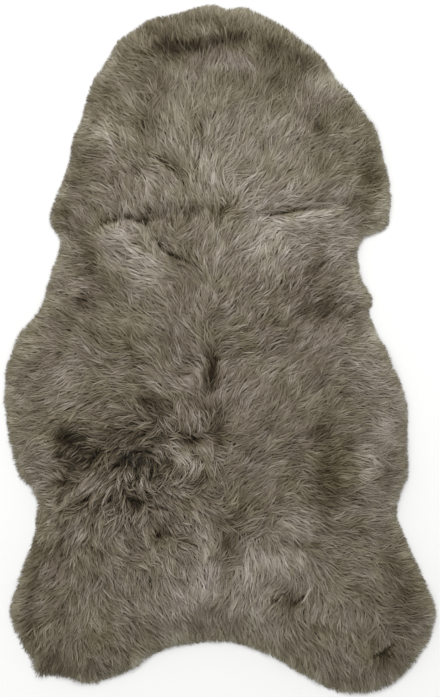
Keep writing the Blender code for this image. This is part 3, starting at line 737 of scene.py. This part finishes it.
def combed(places):
    way = np.stack([sample(land["wayX"], places), sample(land["wayY"], places)], -1)
    return way / np.maximum(np.linalg.norm(way, axis=-1, keepdims=True), 1e-6)


# where the wool is tousled: x, y, half width in mm and share
tousleChart = [
    (-110, -160, 75, 1.0), (-200, -140, 45, 0.8), (-150, -230, 60, 0.7), (-60, -180, 45, 0.8),
    (-60, 265, 50, 0.3), (-20, -20, 45, 0.4), (-60, -270, 60, 0.5), (160, -180, 60, 0.3),
]


def tousleLayer():
    layer = np.zeros_like(gridX)
    for x, y, half, share in tousleChart:
        away = ((millimetreX - x) ** 2 + (millimetreY - y) ** 2) / half**2
        layer = np.maximum(layer, share * np.exp(-away))
    return layer


land["tousle"] = tousleLayer()
land["detail"] = np.maximum(land["tousle"], creasing["detail"] * land["near"])
say("combed the wool")


# wool material: its map holds the place along a lock, root to tip, and the tone
woolPaint = {
    # darker towards the root: partly the wool's own colour, partly painted shade deep in the pile
    "alongRamp": ((0.0, 0.08), (0.30, 0.235), (0.65, 0.358), (1.0, 0.395)),  # along, lightness
    "toneMiddle": 0.241,  # lightness at tone 0.5, less the ramp's
    # the darker colours are more saturated: partly the wool's own colour, partly painted light bounced
    # between the locks in their shade
    "colours": (
        (0.20, (0.027, 0.0175, 0.006)),
        (0.40, (0.100, 0.0785, 0.0450)),
        (0.60, (0.232, 0.1975, 0.1440)),
        (0.80, (0.417, 0.377, 0.317)),
        (1.00, (0.642, 0.604, 0.540)),
    ),
    "fibres": (3.0, 70.0),  # streaks along and across
    "fibreNoise": {"Scale": 1.0, "Detail": 2.0},
    "fibreRange": {"From Min": 0.25, "From Max": 0.75},
    "fibreTone": 0.05,
    "fibreRelief": {"Strength": 0.35, "Distance": 0.0004},
    "tints": ((0.0, (0.985, 1.0, 0.885)), (1.0, (0.995, 0.960, 1.0))),  # olive to greyer
    "gloss": {"Roughness": 0.62, "Sheen Weight": 0.10, "Sheen Roughness": 0.5, "Specular IOR Level": 0.2},
}


def woolMaterial(name):
    paint = newPaint(name)
    place = addNode(paint, "ShaderNodeUVMap", {}, uv_map="OFBake")["UV"]
    split = addNode(paint, "ShaderNodeSeparateXYZ", {"Vector": place})
    along = addRamp(paint, split["X"], [(at, (v, v, v)) for at, v in woolPaint["alongRamp"]])
    stretch = {"Vector": place, "Scale": (*woolPaint["fibres"], 1)}
    stretched = addNode(paint, "ShaderNodeMapping", stretch)["Vector"]
    fibres = addNode(paint, "ShaderNodeTexNoise", {"Vector": stretched} | woolPaint["fibreNoise"])["Fac"]
    middle, half = woolPaint["toneMiddle"] - 0.5, woolPaint["fibreTone"] / 2
    streakRange = {"To Min": middle - half, "To Max": middle + half} | woolPaint["fibreRange"]
    streak = addNode(paint, "ShaderNodeMapRange", {"Value": fibres} | streakRange)["Result"]
    tone = addNode(paint, "ShaderNodeMath", {0: along, 1: split["Y"]})["Value"]
    streaked = addNode(paint, "ShaderNodeMath", {0: tone, 1: streak})["Value"]
    colours = addRamp(paint, streaked, woolPaint["colours"])
    hue = addNode(paint, "ShaderNodeAttribute", {}, attribute_name="hue")["Fac"]
    tint = {"Factor": 1.0, "A": colours, "B": addRamp(paint, hue, woolPaint["tints"])}
    tinted = addNode(paint, "ShaderNodeMix", tint, data_type="RGBA", blend_type="MULTIPLY")["Result"]
    bump = addNode(paint, "ShaderNodeBump", {"Height": fibres} | woolPaint["fibreRelief"])["Normal"]
    coat(paint, {"Base Color": tinted, "Normal": bump} | woolPaint["gloss"])
    return paint


# one lock, curl, hair and rim hair at unit size, to be copied along the combed ways
strandShapes = {  # heights of the rings, and how full each is
    "lock": ((0, 0.30, 0.72), (0.7, 1.0, 0.82)),
    "curl": ((0, 0.12, 0.30, 0.48, 0.66, 0.84), (0.7, 0.9, 1.0, 1.0, 0.9, 0.62)),
    "hair": ((0, 0.45), (0.7, 0.95)),
    "rimHair": ((0, 0.82), (0.7, 0.85)),
}


def modelStrand(rings, fullness):
    widest = 0.5
    bpy.ops.object.select_all(action="DESELECT")
    bpy.ops.mesh.primitive_cone_add(vertices=3, radius1=widest, radius2=0, depth=1, location=(0, 0, 0.5))
    bpy.ops.object.transform_apply(location=True, rotation=True, scale=True)
    thing = bpy.context.object
    bpy.ops.object.mode_set(mode="EDIT")
    for height in rings[1:]:
        bpy.ops.mesh.select_all(action="SELECT")
        bpy.ops.mesh.bisect(plane_co=(0, 0, height), plane_no=(0, 0, 1))
    bpy.ops.object.mode_set(mode="OBJECT")
    places = np.array([v.co for v in thing.data.vertices])
    radius = np.hypot(places[:, 0], places[:, 1])
    for height, full in zip(rings, fullness):
        ring = np.abs(places[:, 2] - height) < 0.01
        places[ring, :2] *= (widest * full / radius[ring])[:, None]
    faces = [p.vertices[:] for p in thing.data.polygons]
    bpy.data.objects.remove(thing)
    return places, faces


strandModels = {name: modelStrand(*shape) for name, shape in strandShapes.items()}


jitter = 0.42  # the share of its spacing that a place lies off its row


def scatter(spacing, rim, seed):  # uneven rows of places, as far out as the rim
    luck = np.random.default_rng(seed)
    places = []
    for k, y in enumerate(np.arange(skinLow.y, skinHigh.y, spacing * math.sqrt(3) / 2)):
        xs = np.arange(skinLow.x + (k % 2) * spacing / 2, skinHigh.x, spacing)
        places.append(np.stack([xs, np.full(len(xs), y)], -1))
    places = np.concatenate(places)
    places += luck.uniform(-jitter, jitter, places.shape) * spacing
    return places[sample(land["inward"], places) > rim]


def nearestTo(places, others):  # the nearest one, and 0 at its middle to 1 at the gap to the next
    tree = treeOf(others)
    pairs = [tree.find_n((x, y, 0), 2) for x, y in places]
    return np.array([p[0][1] for p in pairs]), np.array([p[0][2] / p[1][2] for p in pairs])


def leftOf(way):
    return np.stack([-way[..., 1], way[..., 0]], -1)


def turned(way, angle):
    return way * np.cos(angle)[..., None] + leftOf(way) * np.sin(angle)[..., None]


def unit(ways):
    return ways / (np.linalg.norm(ways, axis=-1, keepdims=True) + 1e-9)


def pathAt(paths, shares):  # the places at these shares of each path's length
    steps = paths.shape[1] - 1
    place = np.clip(shares * steps, 0, steps - 1e-6)
    k = place.astype(int)
    part = (place - k)[..., None]
    row = np.arange(len(paths))[:, None]
    return paths[row, k] * (1 - part) + paths[row, k + 1] * part


def ruffleShare(places):
    return np.clip((sample(land["ruffle"], places) - shading["ruffleCalm"]) / shading["ruffleSpan"], 0, 1)


# broad tufts set the way, and fine tufts gather the locks within them
tufts = {
    "steps": 14,
    "reach": 0.036,  # how far a lock lies along the combed way
    "tousleShort": 0.04,  # the share that it is shorter where tousled
    "middle": 0.45,  # the share of a lock behind the place it is set at
    "broadSpacing": 0.016,
    "broadRim": -0.008,  # how far past the slab they are set
    "broadPull": 0.16,
    "broadPower": 1.3,
    "broadTurn": 6,
    "broadLean": 8,
    "broadTone": 0.020,
    "broadLift": 0.0012,
    "broadGap": 0.0016,  # how far the wool sinks between two tufts
    "gapPower": 4,
    "tousleLift": 1.5,
    "tousleTurn": 6,
    "curlTurn": 13,  # degrees either way, where the wool is tousled
    "curlLength": 0.022,
    "fineSpacing": 0.0066,
    "fineRim": -0.010,
    "fineTurn": 13,
    "fineTone": 0.062,
    "fineLift": 0.0008,
    "calmTone": 0.35,
    "tousleGain": 0.2,
    "wave": 0.0011,
    "waveLength": 0.013,
}


def growBroad(starts, tousle, reach, luck):  # paths both ways from the place that each is set at
    count, steps = len(starts), tufts["steps"]
    bend = math.radians(2 * tufts["broadTurn"]) * luck.standard_normal(count)
    lean = np.radians(tufts["broadLean"] + tufts["tousleTurn"] * tousle) * luck.standard_normal(count)
    phase = luck.uniform(0, 2 * math.pi, count)
    paths = np.empty((count, steps + 1, 2))
    middle = round(steps * tufts["middle"])
    paths[:, middle] = starts
    for k in [*range(middle, steps), *range(middle - 1, -1, -1)]:
        wave = np.sin(phase + 2 * math.pi * k / steps * reach / tufts["curlLength"])
        turn = lean + bend * (k / steps - 0.5) + math.radians(tufts["curlTurn"]) * tousle * wave
        fromStep, toStep, way = (k, k + 1, 1) if k >= middle else (k + 1, k, -1)
        step = turned(combed(paths[:, fromStep]), turn) * (way * reach / steps)[:, None]
        paths[:, toStep] = paths[:, fromStep] + step
    return paths


def bendFine(paths, tousle, reach, luck):  # each fine tuft leans its own way, and waves where tousled
    count, steps = len(paths), tufts["steps"]
    lean = math.radians(tufts["fineTurn"]) * (1 + tufts["tousleGain"] * tousle) * luck.standard_normal(count)
    middle = round(steps * tufts["middle"])
    pivot = paths[:, middle : middle + 1]
    paths = pivot + turned(paths - pivot, np.repeat(lean[:, None], steps + 1, 1))
    phase = luck.uniform(0, 2 * math.pi, (count, 1))
    turns = np.linspace(0, 1, steps + 1) * (reach / tufts["waveLength"])[:, None]
    wave = np.sin(phase + 2 * math.pi * turns) * (tufts["wave"] * tousle)[:, None]
    return paths + leftOf(unit(np.gradient(paths, axis=1))) * wave[..., None]


def growTufts():
    luck = np.random.default_rng(41)
    starts = scatter(tufts["broadSpacing"], tufts["broadRim"], 31)
    tousle = sample(land["tousle"], starts)
    reach = tufts["reach"] * (1 - tufts["tousleShort"] * tousle)
    paths = growBroad(starts, tousle, reach, luck)
    tone = tufts["broadTone"] * luck.standard_normal(len(starts)) * (1 + tousle)
    lift = tufts["broadLift"] * luck.standard_normal(len(starts)) * (1 + tufts["tousleLift"] * tousle)
    fine = scatter(tufts["fineSpacing"], tufts["fineRim"], 32)
    home, edge = nearestTo(fine, starts)
    count, tousle = len(fine), tousle[home]
    power = tufts["broadPower"]
    shares = np.linspace(0, 1, tufts["steps"] + 1) ** power - tufts["middle"] ** power
    gather = 1 - (tufts["broadPull"] * (1 + tousle))[:, None] * shares
    paths = paths[home] + (fine - starts[home])[:, None, :] * gather[..., None]
    paths = bendFine(paths, tousle, reach[home], luck)
    calm = 1 - ruffleShare(fine)
    tone = tone[home] + tufts["fineTone"] * (1 - tufts["calmTone"] * calm) * luck.standard_normal(count)
    lift = lift[home] + tufts["fineLift"] * (1 + 2 * tousle) * luck.standard_normal(count)
    lift -= tufts["broadGap"] * (1 + tousle) * edge ** tufts["gapPower"]
    say(f"{len(starts)} broad tufts, {count} fine tufts")
    return {"starts": fine, "paths": paths, "calm": calm, "tone": tone, "lift": lift}


fineTufts = growTufts()


# the four kinds of strand: metres, degrees and shares
locks = {
    "detail": (-1, 0.34),  # where it grows, by how tousled or creased the wool is
    "thinned": 0,  # how much fewer where tousled or creased
    "spacing": 0.0046,
    "rim": -0.006,  # its roots are from this far past the slab
    "rimEnd": 1,  # to this far inside it
    "width": (0.0018, 0.0027),
    "thickness": (0.0010, 0.0014),
    "reach": (0.72, 1.0),  # the share of the tuft's path
    "depth": (0.006, 0.010),
    "lift": 0.0004,
    "gap": 1.0,  # how much it sinks in the gap between tufts
    "stray": 0.0007,
    "turn": 4,
    "tone": 0.024,
    "toneLeft": 0.4,  # how unevenly a dark patch darkens the locks
    "dark": 0.10,  # some strands are darker
    "darkShare": 0.06,
}
curls = locks | {
    "detail": (0.26, 2),
    "spacing": 0.0041,
    "width": (0.0016, 0.0025),
    "thickness": (0.0011, 0.0016),
    "reach": (0.70, 1.05),
    "depth": (0.006, 0.011),
    "lift": 0.0008,
    "stray": 0.0006,
    "turn": 5,
    "tone": 0.036,
    "dark": 0.13,
    "darkShare": 0.13,
}
hairs = locks | {
    "detail": (-1, 2),
    "thinned": 0.6,
    "spacing": 0.0038,
    "rim": -0.008,
    "width": (0.0009, 0.0015),
    "thickness": (0.0006, 0.0009),
    "reach": (0.34, 0.74),
    "depth": (0.005, 0.009),
    "lift": 0.0010,
    "gap": 0.5,
    "stray": 0.0016,
    "turn": 17,
    "tone": 0.028,
    "toneLeft": 0.6,
    "dark": 0.15,
    "darkShare": 0.14,
}
rimHairs = hairs | {
    "thinned": 0,
    "spacing": 0.0026,
    "rim": -0.0105,
    "rimEnd": 0.002,
    "width": (0.0008, 0.0013),
    "reach": (0.40, 0.85),
    "depth": (0.003, 0.007),
    "gap": 0.0,
    "stray": 0.0020,
    "turn": 12,
    "tone": 0.05,
    "toneLeft": 0.5,
    "dark": 0.10,
    "darkShare": 0.08,
}


# where the rim is ragged: x, y, half widths in mm, and share
raggedChart = [
    (-275, -440, 60, 60, 1.0), (-180, -482, 60, 24, 0.6), (282, -440, 50, 60, 0.8),
    (200, -492, 60, 20, 0.7), (-303, -150, 30, 50, 0.6), (0, -426, 130, 20, 0.3),
    (-280, -205, 26, 20, 0.6), (318, -360, 20, 40, 0.4),
]
# tufts at the rim that stand out or lie back: x, y, radius in mm, and how far in tenths of a millimetre
rimChart = [
    (-267, -470, 13, 66), (161, -493, 20, 34), (-293, -423, 14, 56), (-240, -477, 12, 36),
    (-54, -430, 22, 14), (305, -407, 20, -14), (-241, 170, 20, 10), (222, 164, 18, 16),
    (190, 367, 12, 20), (213, 341, 13, -34), (48, 490, 12, -20), (-176, 404, 14, -24),
    (-302, -357, 11, -32), (-289, -186, 12, 24), (203, 122, 22, 9), (218, 64, 12, 10),
    (-284, -300, 18, 17), (-307, -130, 28, 14), (72, -447, 20, 28), (8, -426, 16, 12),
    (105, -464, 16, 14), (271, -467, 14, 16), (271, -183, 16, 10), (-157, 435, 14, 14),
    (-304, -5, 18, -16), (-2, 497, 13, -20), (157, 410, 13, -18), (-86, 483, 16, -12),
    (297, -338, 16, -14), (111, 454, 16, -14), (270, -155, 12, -14),
]
outline = {
    "reach": 0.0128,  # how far past the slab the tips end
    "spread": 0.0007,
    "raggedSpread": 0.0016,  # more where the rim is ragged
    "stepWidth": 0.007,
    "stepDepth": 0.0009,
    "stepLimits": (-2, 1.2),
    "aside": -0.0010,  # less to the right, more to the left
    "tail": -0.0016,
}


def rimSteps():
    steps = outline["stepDepth"] * np.clip(softNoise(outline["stepWidth"], 91), *outline["stepLimits"])
    steps += outline["aside"] * outX + outline["tail"] * np.clip(-outY, 0, 1)
    for x, y, radius, extra in rimChart:
        away = np.hypot(millimetreX - x, millimetreY - y) / radius
        steps += extra / 10000 * np.exp(-(away**2))
    return steps


land["reach"] = outline["reach"] + rimSteps()
land["ragged"] = outline["spread"] + outline["raggedSpread"] * patchLayer(raggedChart)


wool = {
    "finePull": 0.58,  # how far a fine tuft draws its locks together
    "calmPull": 0.35,
    "pullPower": 1.2,
    "fineGap": 0.0022,
    # painted shade: locks are darker near the gap between two fine tufts
    "gapShade": 0.09,
    "gapPower": 5,
    "steady": (0.7, 0.6),  # the shares of turn and stray lost where tousled
    "rise": 1.8,
    "tousleRise": 1.2,  # tousled locks lie longer on top
    "looks": 33,  # places looked at along a lock for a crease
    "cutLevel": 0.5,
    "cutClear": 0.75,
    "overhang": (0.0, 0.06),  # share of a lock's path that it hangs past the crease
    "trims": 24,  # a lock past the outline is shortened up to this many times
    "trim": 0.92,
    "lowestSpine": 0.0012,
    "lowest": 0.0006,
    "widths": (0.8, 1.35),  # where calm and where ruffled
    "roll": 0.30,
    "soft": 0.70,  # how far the light takes the wool's surface for the strands'
    "softLoss": 0.8,
    "softCalm": 0.16,  # more where the wool lies smooth
    "tipShare": 0.5,  # how far a tip's own normal points along its lock
    "sideTone": 0.05,
    "darkCalm": 0.4,
}


def pickRoots(kind, seed, luck):
    roots = scatter(kind["spacing"], kind["rim"], seed)
    roots = roots[sample(land["inward"], roots) < kind["rimEnd"]]
    detail = sample(land["detail"], roots)
    low, high = kind["detail"]
    kept = (detail > low) & (detail < high) & (luck.random(len(roots)) > kind["thinned"] * detail)
    return roots[kept & (sample(land["cut"], roots) < wool["cutClear"])]


def stopAtCreases(paths, aside, start, end, luck):  # a lock ends a little past a crease, or begins in it
    shares = np.linspace(0, 1, wool["looks"])
    places = pathAt(paths, np.repeat(shares[None], len(paths), 0)) + aside[:, None]
    inCrease = sample(land["cut"], places) > wool["cutLevel"]
    past = luck.uniform(*wool["overhang"], len(paths))
    ahead = np.where(inCrease & (shares > tufts["middle"]), shares, 2).min(1)
    behind = np.where(inCrease & (shares < tufts["middle"]), shares, -2).max(1)
    return np.maximum(start, behind), np.minimum(end, ahead + past)


def layStrands(kind, roots, home, tousle, heights, luck):  # their paths on the level, at these heights
    count, middle = len(roots), tufts["middle"]
    reach = luck.uniform(*kind["reach"], count)
    aside = roots - fineTufts["starts"][home]
    paths = fineTufts["paths"][home]
    start, end = stopAtCreases(paths, aside, middle * (1 - reach), middle + (1 - middle) * reach, luck)
    spine = pathAt(paths, start[:, None] + (end - start)[:, None] * heights)
    gather = wool["finePull"] * (1 - wool["calmPull"] * fineTufts["calm"][home])
    pull = gather[:, None] * (heights ** wool["pullPower"] - middle ** wool["pullPower"])
    spine = spine + aside[:, None, :] * (1 - pull)[:, :, None]
    steadyTurn, steadyStray = wool["steady"]
    turn = math.radians(kind["turn"]) * luck.standard_normal(count) * (1 - steadyTurn * tousle)
    spine = spine[:, :1] + turned(spine - spine[:, :1], turn[:, None] * heights)
    stray = (kind["stray"] * (1 - steadyStray * tousle))[:, None, None] * luck.standard_normal((count, 1, 2))
    spine = spine + stray * (heights**2)[:, None]
    allowed = sample(land["reach"], roots) + sample(land["ragged"], roots) * luck.standard_normal(count)
    for _ in range(wool["trims"]):
        beyond = -sample(land["inward"], spine[:, -1]) > allowed
        spine[beyond] = spine[beyond, :1] + (spine[beyond] - spine[beyond, :1]) * wool["trim"]
    return spine


def raiseStrands(kind, spine, home, tousle, gap, heights, luck):  # from the roots up to the wool's surface
    depth = luck.uniform(*kind["depth"], len(spine))
    rise = 1 - (1 - heights) ** (wool["rise"] + wool["tousleRise"] * tousle[:, None])
    z = sample(land["height"], spine) - depth[:, None] * (1 - rise)
    z += fineTufts["lift"][home][:, None] * heights - (wool["fineGap"] * gap)[:, None]
    z += kind["lift"] * luck.standard_normal((len(spine), 1)) * heights**2
    return np.concatenate([spine, np.maximum(z, wool["lowestSpine"])[..., None]], -1)


def strandWays(spine, luck):  # ahead, to the side and up, for each ring
    ahead = unit(np.gradient(spine, axis=1))
    side = unit(np.concatenate([leftOf(ahead), np.zeros_like(ahead[..., :1])], -1))
    up = np.cross(ahead, side)
    up *= np.where(up[..., 2:] < 0, -1, 1)
    roll = luck.normal(0, wool["roll"], (len(spine), 1, 1))
    side, up = side * np.cos(roll) + up * np.sin(roll), up * np.cos(roll) - side * np.sin(roll)
    return ahead, side, up


def softNormals(own, points, soft):  # between the strand's own normals and the wool's surface
    slopes = [sample(land["slopeX"], points), sample(land["slopeY"], points)]
    surface = np.stack([*slopes, np.ones(points.shape[:2])], -1)
    surface /= np.linalg.norm(surface, axis=-1, keepdims=True)
    return unit(unit(own) * (1 - soft) + surface * soft)


def strandTones(kind, points, across, home, ruffle, gap, luck):
    count = len(points)
    patch = sample(land["tone"], points)
    uneven = kind["toneLeft"] * luck.uniform(-1, 1, (count, 1))
    tone = 0.5 + patch * (1 - uneven * (patch < 0)) + fineTufts["tone"][home][:, None]
    tone += kind["tone"] * luck.standard_normal((count, 1)) + wool["sideTone"] * across
    darkShare = kind["darkShare"] * (wool["darkCalm"] + ruffle[:, None])
    tone -= kind["dark"] * (luck.random((count, 1)) < darkShare)
    # painted shade near the gap between fine tufts
    return tone - (wool["gapShade"] * gap)[:, None]


def growStrands(kind, model, seed):
    luck = np.random.default_rng(seed)
    roots = pickRoots(kind, seed + 1, luck)
    tousle, ruffle = sample(land["tousle"], roots), ruffleShare(roots)
    home, edge = nearestTo(roots, fineTufts["starts"])
    gap = kind["gap"] * (1 + 2 * tousle) * edge ** wool["gapPower"]
    places, faces = model
    across, over, along = np.split(places, 3, axis=1)
    tip = along > 0.99
    heights, ring = np.unique(along[:, 0].round(4), return_inverse=True)
    spine = layStrands(kind, roots, home, tousle, heights, luck)
    spine = raiseStrands(kind, spine, home, tousle, gap, heights, luck)
    ahead, side, up = [ways[:, ring] for ways in strandWays(spine, luck)]
    calmWidth, ruffledWidth = wool["widths"]
    width = luck.uniform(*kind["width"], len(roots)) * (calmWidth + (ruffledWidth - calmWidth) * ruffle)
    thick = luck.uniform(*kind["thickness"], len(roots))
    points = spine[:, ring] + side * (across * width[:, None, None]) + up * (over * thick[:, None, None])
    points[..., 2] = np.maximum(points[..., 2], wool["lowest"])
    own = side * across + up * over + wool["tipShare"] * ahead * tip
    soft = (wool["soft"] + wool["softCalm"] * (1 - ruffle)) * (1 - wool["softLoss"] * tousle)
    normal = softNormals(own, points, soft[:, None, None])
    tone = strandTones(kind, points, across[:, 0], home, ruffle, gap, luck)
    # darker towards the root: partly the wool's own colour, and partly painted shade deep in the pile, the
    # more so where ruffled
    shade = 1 - (1 - along[:, 0]) * sample(land["ruffle"], points)
    hue = 0.5 + 0.5 * sample(land["hue"], roots)[:, None] + np.zeros_like(tone)
    maps = np.stack([shade, tone, hue], -1)
    return {"roots": roots, "points": points, "map": maps, "normal": normal, "faces": faces}


def joined(parts, key):
    return np.concatenate([part[key].reshape(-1, 3) for part in parts])


def strandFaces(parts):  # the corners of all the faces, and each face's number of corners
    corners, sizes, base = [], [], 0
    for part in parts:
        count, each = part["points"].shape[:2]
        starts = base + np.arange(count) * each
        for size in (3, 4):
            rows = np.array([f for f in part["faces"] if len(f) == size], int)
            if len(rows):
                corners.append((starts[:, None, None] + rows).ravel())
                sizes.append(np.full(count * len(rows), size))
        base += count * each
    return np.concatenate(corners), np.concatenate(sizes)


def strandMesh(name, parts):
    points, (corners, sizes) = joined(parts, "points"), strandFaces(parts)
    mesh = bpy.data.meshes.new(name)
    mesh.vertices.add(len(points))
    mesh.vertices.foreach_set("co", points.astype(np.float32).ravel())
    mesh.loops.add(len(corners))
    mesh.loops.foreach_set("vertex_index", corners.astype(np.int32))
    mesh.polygons.add(len(sizes))
    mesh.polygons.foreach_set("loop_start", (np.cumsum(sizes) - sizes).astype(np.int32))
    mesh.update(calc_edges=True)
    mesh.shade_smooth()
    soft = mesh.attributes.new("custom_normal", "FLOAT_VECTOR", "POINT")
    soft.data.foreach_set("vector", joined(parts, "normal").astype(np.float32).ravel())
    mapWool(mesh, joined(parts, "map"))
    return mesh, int((sizes - 2).sum())


def mapWool(mesh, maps):  # each point's place along its lock, its tone and its hue
    corners = np.empty(len(mesh.loops), np.int32)
    mesh.loops.foreach_get("vertex_index", corners)
    for layer in list(mesh.uv_layers):
        mesh.uv_layers.remove(layer)
    layer = mesh.uv_layers.new(name="OFBake")
    maps = np.clip(maps, 0.002, 0.998).astype(np.float32)
    layer.uv.foreach_set("vector", maps[corners, :2].ravel())
    hue = mesh.attributes.new("hue", "FLOAT", "POINT")
    hue.data.foreach_set("value", maps[:, 2])


def finishPiece(thing, paint):
    thing.data.materials.append(paint)
    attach(thing, "root")
    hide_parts("sheepskin")


def addWool(name, mesh):
    thing = bpy.data.objects.new(name, mesh)
    bpy.context.collection.objects.link(thing)
    finishPiece(thing, woolTaupe)
    return thing


# the wool's zones, from the head end to the tail end: the lower limit of each in metres
zones = {
    "wool_head": 0.285,
    "wool_shoulders": 0.130,
    "wool_back": 0.000,
    "wool_loin": -0.125,
    "wool_rump": -0.260,
    "wool_hind": -0.380,
    "wool_feet": -1.0,
}


def addZones(strands):
    pieces, upper, total = [], 1.0, 0
    for name, lower in zones.items():
        parts = []
        for kind in strands:
            here = (kind["roots"][:, 1] >= lower) & (kind["roots"][:, 1] < upper)
            parts.append({key: kind[key][here] for key in ("points", "map", "normal")})
            parts[-1]["faces"] = kind["faces"]
        mesh, triangles = strandMesh(name, parts)
        pieces.append(addWool(name, mesh))
        upper, total = lower, total + triangles
        say(f"{name}: {triangles} triangles")
    say(f"{total} triangles of wool")
    return pieces


woolTaupe = woolMaterial("taupe wool")
strands = [
    growStrands(locks, strandModels["lock"], 61),
    growStrands(curls, strandModels["curl"], 65),
    growStrands(hairs, strandModels["hair"], 71),
    growStrands(rimHairs, strandModels["rimHair"], 81),
]
say("grew " + ", ".join(str(len(kind["roots"])) for kind in strands) + " locks, curls, hairs and rim hairs")
woolPieces = addZones(strands)


# the undercoat: short dense wool that the locks stand in
undercoat = {
    "cell": 0.0045,
    "inset": 0.004,  # from the slab's rim
    "share": 0.78,  # of the wool's height
    "below": 0.0065,  # or this far below it
    "relief": 0.0012,
    "along": (0.34, 0.06),  # place along a lock whose shade it takes, and how uneven
    "alongLimits": (0.1, 0.6),
    "rootAlong": 0.05,
    "toneSpread": 0.05,
    "grain": 0.003,
    "bottom": 0.003,
}
edging = {"rounds": 6, "share": 0.7}  # how a grid's stairs at the rim are drawn on to one even line


def cutGrid(name, cell, inset):  # a level grid inside the slab's rim, its edge loop left selected
    across, length = skinHigh.x - skinLow.x, skinHigh.y - skinLow.y
    columns, rows = round(across / cell), round(length / cell)
    bpy.ops.object.select_all(action="DESELECT")
    bpy.ops.mesh.primitive_grid_add(x_subdivisions=columns, y_subdivisions=rows, size=1)
    thing = bpy.context.object
    thing.name = name
    thing.scale = (across, length, 1)
    bpy.ops.object.transform_apply(location=True, rotation=True, scale=True)
    mesh = thing.data
    centres = np.array([p.center for p in mesh.polygons])
    bpy.ops.object.mode_set(mode="EDIT")
    bpy.ops.mesh.select_mode(type="FACE")
    bpy.ops.mesh.select_all(action="DESELECT")
    bpy.ops.object.mode_set(mode="OBJECT")
    mesh.polygons.foreach_set("select", sample(land["inward"], centres[:, :2]) < inset)
    bpy.ops.object.mode_set(mode="EDIT")
    bpy.ops.mesh.delete(type="FACE")
    bpy.ops.mesh.select_all(action="SELECT")
    bpy.ops.mesh.select_mode(type="EDGE")
    bpy.ops.mesh.region_to_loop()
    bpy.ops.object.mode_set(mode="OBJECT")
    edge = np.empty(len(mesh.vertices), bool)
    mesh.vertices.foreach_get("select", edge)
    places = placesOf(mesh)
    for _ in range(edging["rounds"]):
        way = np.stack([sample(outX, places[edge]), sample(outY, places[edge])], -1)
        places[edge, :2] += edging["share"] * way * (sample(land["inward"], places[edge]) - inset)[:, None]
    mesh.vertices.foreach_set("co", places.ravel())
    bpy.ops.object.mode_set(mode="EDIT")
    return thing


def placesOf(mesh):
    places = np.empty(len(mesh.vertices) * 3)
    mesh.vertices.foreach_get("co", places)
    return places.reshape(-1, 3)


def addUndercoat():
    thing = cutGrid("undercoat", undercoat["cell"], undercoat["inset"])
    skirt = -0.01  # the edge is drawn down, and its points are then put on the bottom
    bpy.ops.mesh.extrude_edges_move(TRANSFORM_OT_translate={"value": (0, 0, skirt)})
    bpy.ops.mesh.edge_face_add()
    bpy.ops.mesh.select_all(action="SELECT")
    bpy.ops.mesh.normals_make_consistent(inside=False)
    bpy.ops.object.mode_set(mode="OBJECT")
    mesh = thing.data
    places = placesOf(mesh)
    uneven = [sample(softNoise(undercoat["grain"], seed), places) for seed in (55, 56, 59)]
    top = places[:, 2] > skirt / 2
    height = sample(land["height"], places)
    height -= np.maximum(height * (1 - undercoat["share"]), undercoat["below"])
    height += undercoat["relief"] * uneven[0]
    places[:, 2] = np.where(top, np.maximum(height, 2 * undercoat["bottom"]), undercoat["bottom"])
    mesh.vertices.foreach_set("co", places.ravel())
    tone = 0.5 + sample(land["tone"], places) + undercoat["toneSpread"] * uneven[1]
    middle, spread = undercoat["along"]
    along = np.clip(middle + spread * uneven[2], *undercoat["alongLimits"])
    hue = 0.5 + 0.5 * sample(land["hue"], places)
    below = undercoat["rootAlong"] + 0.5 * (along - middle)
    mapWool(mesh, np.stack([np.where(top, along, below), tone, hue], -1))
    mesh.shade_smooth()
    finishPiece(thing, woolTaupe)
    return thing


def triangleCount(mesh):
    return sum(len(p.vertices) - 2 for p in mesh.polygons)


woolPieces.append(addUndercoat())
say(f"undercoat: {triangleCount(woolPieces[-1].data)} triangles")


# the pelt: the tanned skin that the wool grows from, its bare side flat on the floor
pelt = {
    "cell": 0.016,
    "inset": 0.010,  # from the slab's rim
    "thickness": 0.002,
    "skin": ((0.36, (0.47, 0.395, 0.30)), (0.64, (0.60, 0.53, 0.43))),  # colours of its uneven tan
    "patches": {"Scale": 9.0, "Detail": 6.0, "Roughness": 0.62},
    "grain": 420.0,
    "grainRelief": {"Strength": 0.5, "Distance": 0.0003},
    "gloss": {"Roughness": 0.78, "Sheen Weight": 0.12, "Specular IOR Level": 0.3},
}


def peltMaterial():
    paint = newPaint("tanned skin")
    place = addNode(paint, "ShaderNodeTexCoord", {})["Object"]
    patches = addNode(paint, "ShaderNodeTexNoise", {"Vector": place} | pelt["patches"])["Fac"]
    grain = addNode(paint, "ShaderNodeTexVoronoi", {"Vector": place, "Scale": pelt["grain"]})["Distance"]
    bump = addNode(paint, "ShaderNodeBump", {"Height": grain} | pelt["grainRelief"])["Normal"]
    coat(paint, {"Base Color": addRamp(paint, patches, pelt["skin"]), "Normal": bump} | pelt["gloss"])
    return paint


def addPelt():
    thing = cutGrid("pelt", pelt["cell"], pelt["inset"])
    bpy.ops.object.mode_set(mode="OBJECT")
    places = placesOf(thing.data)
    places[:, 2] = 0.0
    thing.data.vertices.foreach_set("co", places.ravel())
    width, length, _ = np.ptp(places, axis=0)
    area = sum(p.area for p in thing.data.polygons)
    wall = thing.modifiers.new("thickness", "SOLIDIFY")
    wall.thickness, wall.offset = pelt["thickness"], 1.0
    bpy.ops.object.modifier_apply(modifier="thickness")
    finishPiece(thing, peltMaterial())
    count = triangleCount(thing.data)
    say(f"pelt: {count} triangles, {width:.3f} by {length:.3f} m, {area:.3f} square metres")


addPelt()
